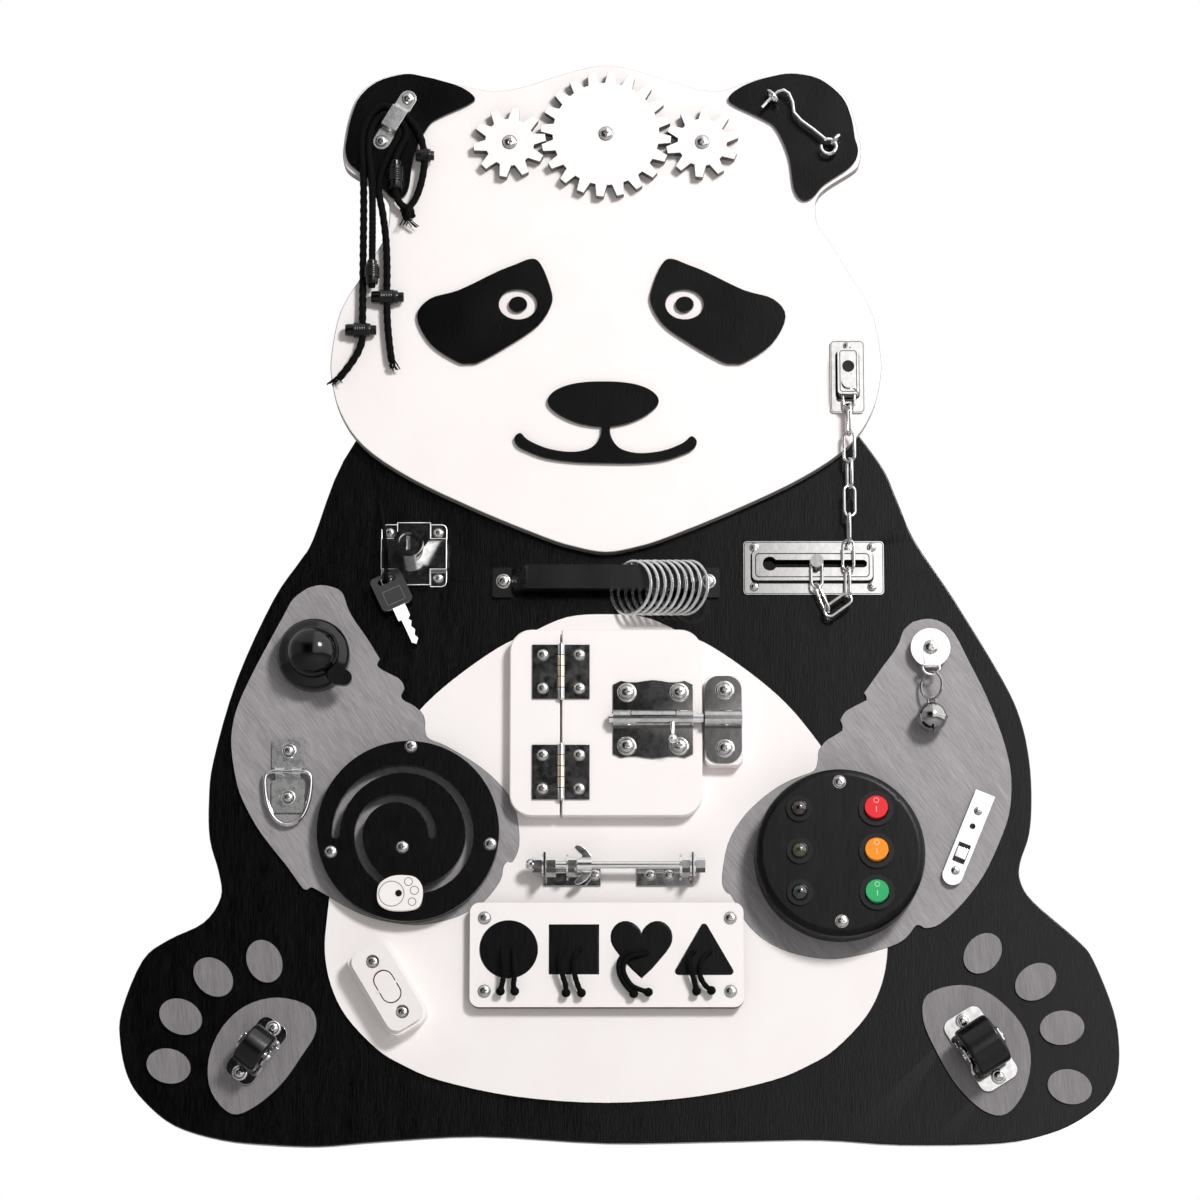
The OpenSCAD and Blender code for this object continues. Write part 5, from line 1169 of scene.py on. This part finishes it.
@dataclass
class BoardPieces:
    """Every CAD piece that keeps its shape: its finish and how its edges are rounded."""

    rounded: tuple[tuple[Finish, Edge, str], ...] = (
        (Finishes.BLACK_BOARD, Edge.SOFT, "body_board"),
        (Finishes.WHITE_BOARD, Edge.SOFT, "head_board"),
        (Finishes.WHITE_PANEL, Edge.CRISP, "belly_panel"),
        (Finishes.BLACK_PATCH, Edge.EASED, "face_patches"),
        (Finishes.GEAR_WOOD, Edge.CRISP, "big_gear left_gear right_gear"),
        (Finishes.BLACK_PLASTIC, Edge.DEEP, "pull_handle"),
        (Finishes.WHITE_PART, Edge.SOFT, "door door_surround"),
        (Finishes.WHITE_PANEL, Edge.EASED, "shape_board"),
        (Finishes.BLACK_WOOD, Edge.EASED, "maze_disc"),
        (Finishes.WHITE_PART, Edge.EASED, "maze_knob"),
        (Finishes.BOX_WOOD, Edge.SOFT, "light_box"),
        (Finishes.MIRROR_STEEL, Edge.EASED, "lock_body"),
        (Finishes.MIRROR_STEEL, Edge.CRISP, "lock_plug"),
        (Finishes.ZINC_STEEL, Edge.EASED, "chain_plates"),
        (Finishes.DARK_STEEL, Edge.CRISP, "ear_fittings ring_plates"),
        (Finishes.MIRROR_STEEL, Edge.CRISP, "fixed_hinge_leaves door_hinge_leaves"),
        (Finishes.MIRROR_STEEL, Edge.EASED, "bolt_guide"),
        (Finishes.BRIGHT_STEEL, Edge.EASED, "sliding_bolt"),
        (Finishes.MIRROR_STEEL, Edge.EASED, "bolt_keeper"),
        (Finishes.MIRROR_STEEL, Edge.CRISP, "rod_brackets"),
        (Finishes.BRIGHT_STEEL, Edge.CRISP, "threaded_rod wing_nut"),
        (Finishes.WHITE_PLASTIC, Edge.PILLOW, "lamp_switch"),
        (Finishes.WHITE_PLASTIC, Edge.SOFT, "lamp_rocker"),
        (Finishes.MIRROR_STEEL, Edge.CRISP, "castor_forks"),
        (Finishes.BLACK_PLASTIC, Edge.SOFT, "left_wheel right_wheel"),
        (Finishes.BRIGHT_STEEL, Edge.EASED, "flush_bolt"),
        (Finishes.BRIGHT_STEEL, Edge.CRISP, "flush_tab"),
        (Finishes.BLACK_PLASTIC, Edge.SOFT, "bell_lever"),
        (Finishes.RED_CAP, Edge.EASED, "red_rocker"),
        (Finishes.AMBER_CAP, Edge.EASED, "amber_rocker"),
        (Finishes.GREEN_CAP, Edge.EASED, "green_rocker"),
        (Finishes.GREY_PANEL, Edge.EASED, "grey_panels"))
    plain: tuple[tuple[Finish, str], ...] = (
        (Finishes.BRIGHT_STEEL, "cabin_hook"), (Finishes.CHAIN_STEEL, "chain_slider lashing_ring"),
        (Finishes.ZINC_STEEL, "lock_tongue bell_hanger"), (Finishes.BLACK_PLASTIC, "light_box_insides"),
        (Finishes.GUN_STEEL, "jingle_bell"))
    bearing_half: float = 2.6
    bearing_reach: Flat = (9.0, 30.0)

    def build(self) -> None:
        """Dresses every piece; the pads and the bolt's plates get a finish of their own."""
        made = {node: softened(node, finish, edge.value)
                for finish, edge, nodes in self.rounded for node in nodes.split()}
        for finish, nodes in self.plain:
            for node in nodes.split():
                materials = frame["nodes"][node].data.materials
                materials.clear()
                materials.append(finish.material())
                LOG.info("%s has its finish", node)
        second_finish(made["grey_panels"], Finishes.GREY_PAD, lambda at: at.z < PAD_TOP)
        for node in ("bolt_guide", "bolt_keeper"):
            second_finish(made[node], Finishes.GUN_STEEL, lambda at: at.y > PLATE_FRONT)
        for node in ("fixed_hinge_leaves", "door_hinge_leaves"):
            low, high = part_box(node)
            second_finish(made[node], Finishes.BRASS_STEEL, lambda at: self.is_bearing(at, low[2], high[2]))

    def is_bearing(self, at: Vector, low: float, high: float) -> bool:
        """Tells whether a point lies in the middle of a hinge's knuckles, which is yellowish.

        Args:
            at: The point, in metres.
            low: The lowest height of the hinge leaves, in metres.
            high: The greatest height of the hinge leaves, in metres.

        Returns:
            Whether it lies there.
        """
        least, most = self.bearing_reach
        height = min(at.z - low, high - at.z)
        beside = abs(at.x - HINGE_AXIS * MM) < self.bearing_half * MM
        return beside and at.y < BEARING_FRONT and least * MM < height < most * MM


# ---- small printed, engraved and moulded details ----


@dataclass
class RockerMarks:
    """The ring and the line on each rocker."""

    rockers: tuple[tuple[str, Finish], ...] = (
        ("red", Finishes.MARK_RED), ("amber", Finishes.MARK_AMBER), ("green", Finishes.MARK_GREEN))
    lean: float = 8.0
    reach: float = 4.4
    pivot_depth: float = -37.6

    def build(self) -> None:
        """Puts both marks on the tilted face of each rocker."""
        out = Matrix.Translation(metres(0, -self.reach, 0))
        tilt = Matrix.Rotation(-math.radians(self.lean), 4, "X") @ out
        for body, finish in self.rockers:
            low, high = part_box(f"{body}_rocker")
            cap = Vector(((low[0] + high[0]) / 2, self.pivot_depth * MM, (low[2] + high[2]) / 2))
            marks = bmesh.new()
            join(marks, flat_ring(1.5, 0.5, 0.12), Matrix.Translation(metres(0, 0, 4.1)))
            join(marks, flat_bar(metres(0, 0, -1.6), 0.6, 3.6))
            bmesh.ops.transform(marks, verts=marks.verts, matrix=Matrix.Translation(cap) @ tilt)
            put(new_object(f"{body}_rocker_marks", marks), body, finish)


@dataclass
class LampLenses:
    """The three dark domed lenses."""

    radius: float = 5.2
    seat: float = -30.0
    base: float = 9.4
    crown: float = 14.0
    steps: int = 14

    def build(self) -> None:
        """Makes a dome where each CAD lens is, from the top down."""
        dome = [(self.radius * math.cos(QUARTER * k / self.steps),
                 self.base + (self.crown - self.base) * math.sin(QUARTER * k / self.steps))
                for k in range(self.steps)]
        centres = sorted(((low + high) / 2 for _, low, high in solids("lamp_lenses")), key=lambda c: -c.z)
        finishes = (Finishes.RED_LENS, Finishes.AMBER_LENS, Finishes.GREEN_LENS)
        for centre, finish in zip(centres, finishes):
            shape = turned_profile([(0, 0), (self.radius, 0)] + dome + [(0.0, self.crown)], 64)
            bmesh.ops.translate(shape, verts=shape.verts, vec=(centre.x, self.seat * MM, centre.z))
            put(new_object(finish.name, shape), "board", finish, ("lamp_lenses",))


@dataclass
class PawKnob:
    """The paw print cut into the knob of the maze."""

    centre: Flat = (-129.9, -188.3)
    front: float = -29.7
    rings: tuple[Point, ...] = ((-4.8, -0.3, 7.9), (5.8, 7.3, 2.5), (9.6, 1.8, 2.6), (8.2, -5.4, 2.4))
    line: float = 0.45
    proud: float = 0.06
    stud: float = 2.1

    def build(self) -> None:
        """Draws the rings of the paw and the stud's head in its middle."""
        x, z = self.centre
        marks = bmesh.new()
        for dx, dz, radius in self.rings:
            place = Matrix.Translation(metres(x + dx, self.front, z + dz))
            join(marks, flat_ring(radius, self.line, self.proud), place)
        put(new_object("paw_lines", marks, 20.0), "knob", Finishes.LINE_GREY)
        head = turned_profile([(0, -1.0), (self.stud, -1.0), (self.stud, 0.3), (0.8 * self.stud, 0.6),
                               (0.3 * self.stud, 0.6), (0.2 * self.stud, 0.2), (0, 0.2)], 32)
        bmesh.ops.translate(head, verts=head.verts, vec=metres(x - 0.3, self.front, z))
        put(new_object("knob_stud_head", head), "knob", Finishes.BLACK_PLASTIC)


@dataclass
class BicycleBell:
    """The turned bell with its stepped dome."""

    centre: Point = (-186.0, -13.0, -34.0)
    radius: float = 23.0
    height: float = 32.0
    dome: Flat = (16.4, 17.6)
    steps: int = 18

    def profile(self) -> list[Flat]:
        """The half outline, with rounded steps.

        Returns:
            Points of radius and depth, in millimetres.
        """
        r, h = self.radius, self.height
        width, base = self.dome
        corners = [(0, 0), (r - 1.2, 0), (r, 1.4), (r, 10.5), (r - 0.6, 12.6), (r - 2.4, 14.4),
                   (r - 5.4, 15.6), (17.0, 16.0), (width, 16.6), (width, base)]
        turns = (QUARTER * k / self.steps for k in range(1, self.steps))
        return corners + [(width * math.cos(t), base + (h - base) * math.sin(t)) for t in turns] + [(0.0, h)]

    def build(self) -> None:
        """Makes the bell in place of the CAD one."""
        shape = turned_profile(self.profile(), 96)
        bmesh.ops.translate(shape, verts=shape.verts, vec=metres(*self.centre))
        bell = new_object("bell_dome", shape, 50.0)
        put(bell, "board", Finishes.GLOSS_BLACK, ("bicycle_bell",))


@dataclass
class Key:
    """The key: a dark plastic head with a raised frame, and a bright blade."""

    centre: Flat = (-137.0, 8.0)
    angle: float = 25.0
    neck: float = -11.45
    proud: float = 0.1
    bars: tuple[tuple[Flat, Flat], ...] = (
        ((0, 0.6), (12.4, 0.5)), ((0, -8.6), (12.4, 0.5)), ((-6.0, -4.0), (0.5, 9.2)),
        ((6.0, -4.0), (0.5, 9.2)))

    def build(self) -> None:
        """Softens the CAD key, splits its finish and frames its head."""
        piece = softened("key", Finishes.KEY_PLASTIC, Edge.CRISP.value)
        turn = math.radians(self.angle)
        along = Vector((-math.sin(turn), 0, math.cos(turn)))
        middle = metres(self.centre[0], 0, self.centre[1])
        second_finish(piece, Finishes.SATIN_STEEL, lambda at: (at - middle).dot(along) < self.neck * MM)
        middle.y = min(v.co.y for v in piece.data.vertices)
        bars = bmesh.new()
        for (x, z), (width, height) in self.bars:
            join(bars, flat_bar(metres(x, 0, z), width, height, self.proud))
        place = Matrix.Translation(middle) @ Matrix.Rotation(-turn, 4, "Y")
        bmesh.ops.transform(bars, verts=bars.verts, matrix=place)
        put(new_object("key_head_frame", bars), body_of_node("key"), Finishes.LINE_GREY)


@dataclass
class LockRimHighlight:
    """Painted highlights: thin bright lines along the turned-up edges of the lock's plate."""

    centre: Flat = (-123.0, 32.7)
    half: Flat = (20.8, 20.3)
    cut: Flat = (10.5, 10.0)
    raised: float = -16.9
    low: float = -11.1
    wire: float = 0.32

    def build(self) -> None:
        """Lays thin bright lines, a painted highlight, along the raised plate and its lowered corners."""
        (x0, z0), (w, h), (cw, ch) = self.centre, self.half, self.cut
        step = [(0, h), (cw, h), (cw, ch), (w, ch), (w, 0)]
        corner = [(cw, h), (w - 3, h), (w - 0.9, h - 0.9), (w, h - 3), (w, ch)]
        rims = bmesh.new()
        for sx, sz in ((-1, -1), (-1, 1), (1, -1), (1, 1)):
            for outline, depth in ((step, self.raised), (corner, self.low)):
                points = [metres(x0 + sx * x, depth, z0 + sz * z) for x, z in outline]
                join(rims, thin_tube(points, self.wire, 8))
        put(new_object("lock_rim_highlight", rims), "board", Finishes.SATIN_STEEL)


@dataclass
class PressedSeamShade:
    """Painted shade along the pressed seams of the door chain's plates: middle, size, corner, depth and wire
    of each.
    """

    seams: tuple[tuple[Flat, Flat, float, float, float], ...] = (
        ((132.0, 25.2), (77.8, 20.4), 3.4, -11.7, 0.55), ((132.0, 25.2), (72.6, 15.2), 2.4, -17.0, 0.34),
        ((133.0, 24.6), (88.6, 33.6), 2.2, -11.5, 0.22), ((155.5, 149.5), (14.4, 30.8), 2.4, -21.7, 0.6),
        ((155.5, 149.5), (10.6, 27.0), 1.6, -32.0, 0.26), ((155.5, 148.5), (20.8, 46.8), 2.2, -21.5, 0.22))

    def build(self) -> None:
        """Lays a dark line of painted shade along every seam."""
        shape = bmesh.new()
        for (x0, z0), (width, height), corner, depth, wire in self.seams:
            outline = rounded_outline((width / 2, height / 2), (corner, corner), 5)
            join(shape, thin_tube([metres(x0 + x, depth, z0 + z) for x, z in outline], wire, 6))
        put(new_object("chain_plate_seam_shade", shape), "board", Finishes.SHADE_STEEL)


@dataclass
class BoltSlot:
    """Painted shade outlining the pressed slot along the tube of the barrel bolt."""

    axis: Flat = (-28.3, -76.3)
    radius: float = 5.25
    reach: Flat = (15.7, 44.2)
    turn: Flat = (10.0, 58.0)
    corner: float = 0.35
    wire: float = 0.3

    def build(self) -> None:
        """Lays a dark line of painted shade around the slot, on the curve of the tube."""
        half_long = (self.reach[1] - self.reach[0]) / 2
        half_turn = math.radians(self.turn[1] - self.turn[0]) / 2
        corner = self.corner * half_turn
        middle = math.radians(sum(self.turn)) / 2
        points = [metres(self.reach[0] + half_long + x, self.axis[0] - self.radius * math.cos(middle + turn),
                         self.axis[1] + self.radius * math.sin(middle + turn))
                  for x, turn in rounded_outline((half_long, half_turn), (corner * self.radius, corner), 4)]
        slot = thin_tube(points, self.wire, 6)
        put(new_object("bolt_slot_shade", slot), body_of_node("bolt_guide"), Finishes.SHADE_STEEL)


@dataclass
class KnuckleGaps:
    """Painted shade in the gaps between the knuckles of both hinges."""

    heights: Flat = (-45.6, -110.2)
    depth: float = -25.2
    radius: float = 2.19
    line: float = 0.18
    half_gap: float = 0.25
    step: float = 7.0

    def build(self) -> None:
        """Puts a thin dark ring of painted shade at every joint between two knuckles."""
        gaps = bmesh.new()
        for height in self.heights:
            for place in (-1.5, -0.5, 0.5, 1.5):
                centre = Matrix.Translation(metres(HINGE_AXIS, self.depth, height + place * self.step))
                ring = flat_ring(self.radius, self.line, self.half_gap, 24)
                join(gaps, ring, centre @ Matrix.Rotation(QUARTER, 4, "X"))
        put(new_object("knuckle_gap_shade", gaps), "board", Finishes.SHADE_STEEL)


@dataclass
class InsertHandles:
    """The inserts and the short knotted cords that lift them."""

    front: float = -20.9
    cut_margin: float = 0.02
    thick: float = 1.85
    knot: float = 2.7
    knot_steps: int = 10
    lump: float = 0.06
    depths: tuple[float, ...] = (1.5, -3.0, -5.8, -6.4, -6.2, -5.2, -4.6)
    inserts: tuple[tuple[str, Flat, tuple[tuple[Flat, ...], ...]], ...] = (
        ("shape_circle", (-61.2, -222.6), (
            ((-4, 1), (-3.8, -3), (-3.4, -8), (-3, -13), (-3, -18), (-4, -23), (-5, -27)),
            ((3, 1), (3.2, -3), (3.4, -8), (3.6, -13), (3.8, -18), (3.2, -23), (4, -27)))),
        ("shape_square", (-20.2, -222.6), (
            ((-5.1, 1), (-8, -2.5), (-9.2, -7), (-8.6, -12.5), (-6.8, -18), (-5.2, -23.5), (-4.9, -28)),
            ((4.7, 1), (1.6, -2.5), (0.1, -7), (0, -12.5), (0.8, -18), (2.6, -23.5), (4.7, -28)))),
        ("shape_heart", (22.2, -222.6), (
            ((3.6, -1), (-3, -1.6), (-10, -3.2), (-14, -9), (-13.8, -16), (-10.5, -22.5), (-5, -28.5)),
            ((4.6, -2.6), (-2, -3.6), (-8.6, -6), (-11.4, -11), (-10.6, -17), (-5.5, -24), (4.2, -27.6)))),
        ("shape_triangle", (61.5, -222.6), (
            ((-5.5, -1), (-9, -4), (-9.6, -8.5), (-8.6, -13.5), (-7, -18.5), (-5.8, -23), (-5, -27)),
            ((4.7, -1), (1, -4), (-1.8, -8.5), (-2.6, -13.5), (-2.4, -18.5), (0.6, -23.5), (4.3, -26.5)))))

    def insert(self, node: str) -> Shape:
        """An insert without the CAD cords in front of it.

        Args:
            node: The CAD node of the insert.

        Returns:
            The insert, closed where the cords were cut off.
        """
        shape = merged_copy(node)
        everything = shape.verts[:] + shape.edges[:] + shape.faces[:]
        cut = bmesh.ops.bisect_plane(shape, geom=everything, plane_no=(0, -1, 0), clear_outer=True,
                                     plane_co=metres(0, self.front - self.cut_margin, 0))["geom_cut"]
        bmesh.ops.holes_fill(shape, edges=[e for e in cut if isinstance(e, bmesh.types.BMEdge)])
        return shape

    def build(self) -> None:
        """Makes each insert, its cords and their knots."""
        turns = [(k, math.pi * k / self.knot_steps) for k in range(self.knot_steps + 1)]
        profile = [(self.knot * math.sin(t) * (1 + self.lump * (k % 2)), self.knot * (1 - math.cos(t)))
                   for k, t in turns]
        for node, (x0, z0), routes in self.inserts:
            body = body_of_node(node)
            softened(node, Finishes.BLACK_WOOD, Edge.EASED.value, self.insert(node))
            for number, route in enumerate(routes, 1):
                placed = [(x0 + x, self.front + y, z0 + z) for (x, z), y in zip(route, self.depths)]
                cord = BraidedCord(f"{node}_cord_{number}", placed, self.thick).build()
                put(cord, body, Finishes.BLACK_CORD)
                knot = turned_profile(profile, 20)
                end = metres(*placed[-1]) + metres(0, self.knot, 0)
                bmesh.ops.translate(knot, verts=knot.verts, vec=end)
                put(new_object(f"{node}_knot_{number}", knot), body, Finishes.BLACK_CORD)


@dataclass
class CordStoppers:
    """Barrel stoppers with a ribbed middle and a push button."""

    depth: float = -25.2
    places: tuple[tuple[Point, float, float, bool], ...] = (
        ((-158, 0, 178.5), 20.0, 4.9, True), ((-151, -4, 216), 16.0, 4.9, False),
        ((-141, 0, 200.5), 21.0, 5.0, True), ((-136.5, -3, 282), 19.0, 5.0, False),
        ((-117.5, -2.6, 295), 12.0, 4.8, True))
    ribs: int = 5

    def barrel(self, length: float, radius: float) -> Shape:
        """One stopper around the origin, its axis along the depth.

        Args:
            length: Its full length, in millimetres.
            radius: Radius of its wide middle, in millimetres.

        Returns:
            The stopper.
        """
        half = length / 2
        outline = [(0, -half), (0.60 * radius, -half), (0.66 * radius, -half + 0.5),
                   (0.66 * radius, -0.64 * half), (0.86 * radius, -0.62 * half),
                   (0.9 * radius, -0.56 * half), (0.9 * radius, -0.42 * half), (radius, -0.38 * half)]
        for start in ((-0.34 + 0.74 * k / self.ribs) * half for k in range(self.ribs)):
            outline += [(radius, start), (0.95 * radius, start + 0.05 * half), (radius, start + 0.10 * half)]
        outline += [(radius, 0.44 * half), (0.84 * radius, 0.5 * half), (0.8 * radius, 0.9 * half),
                    (0.7 * radius, half), (0, half)]
        return turned_profile(outline, 40)

    def build(self) -> None:
        """Makes the stoppers in place of the CAD ones."""
        shape = bmesh.new()
        for (x, y, z), length, radius, across in self.places:
            turn = Matrix.Rotation(-QUARTER, 4, "Z") if across else Matrix.Rotation(QUARTER, 4, "X")
            join(shape, self.barrel(length, radius), Matrix.Translation(metres(x, self.depth + y, z)) @ turn)
        put(new_object("barrel_stoppers", shape, 30.0), "board", Finishes.BLACK_PLASTIC, ("cord_stoppers",))


def main() -> None:
    """Builds the whole scene in order."""
    logging.basicConfig(level=logging.INFO, format="%(message)s")
    for part in (Studio(), Lacing(), KeyCord(), DoorChain(), SplitRings(), CrossScrews("wood_screws"),
                 CrossScrews("door_screws", 8), BoardPieces(), RockerMarks(), LampLenses(), PawKnob(),
                 BicycleBell(), Key(), CordStoppers(), LockRimHighlight(), PressedSeamShade(), BoltSlot(), KnuckleGaps(),
                 InsertHandles()):
        part.build()


if __name__ == "__main__":
    main()
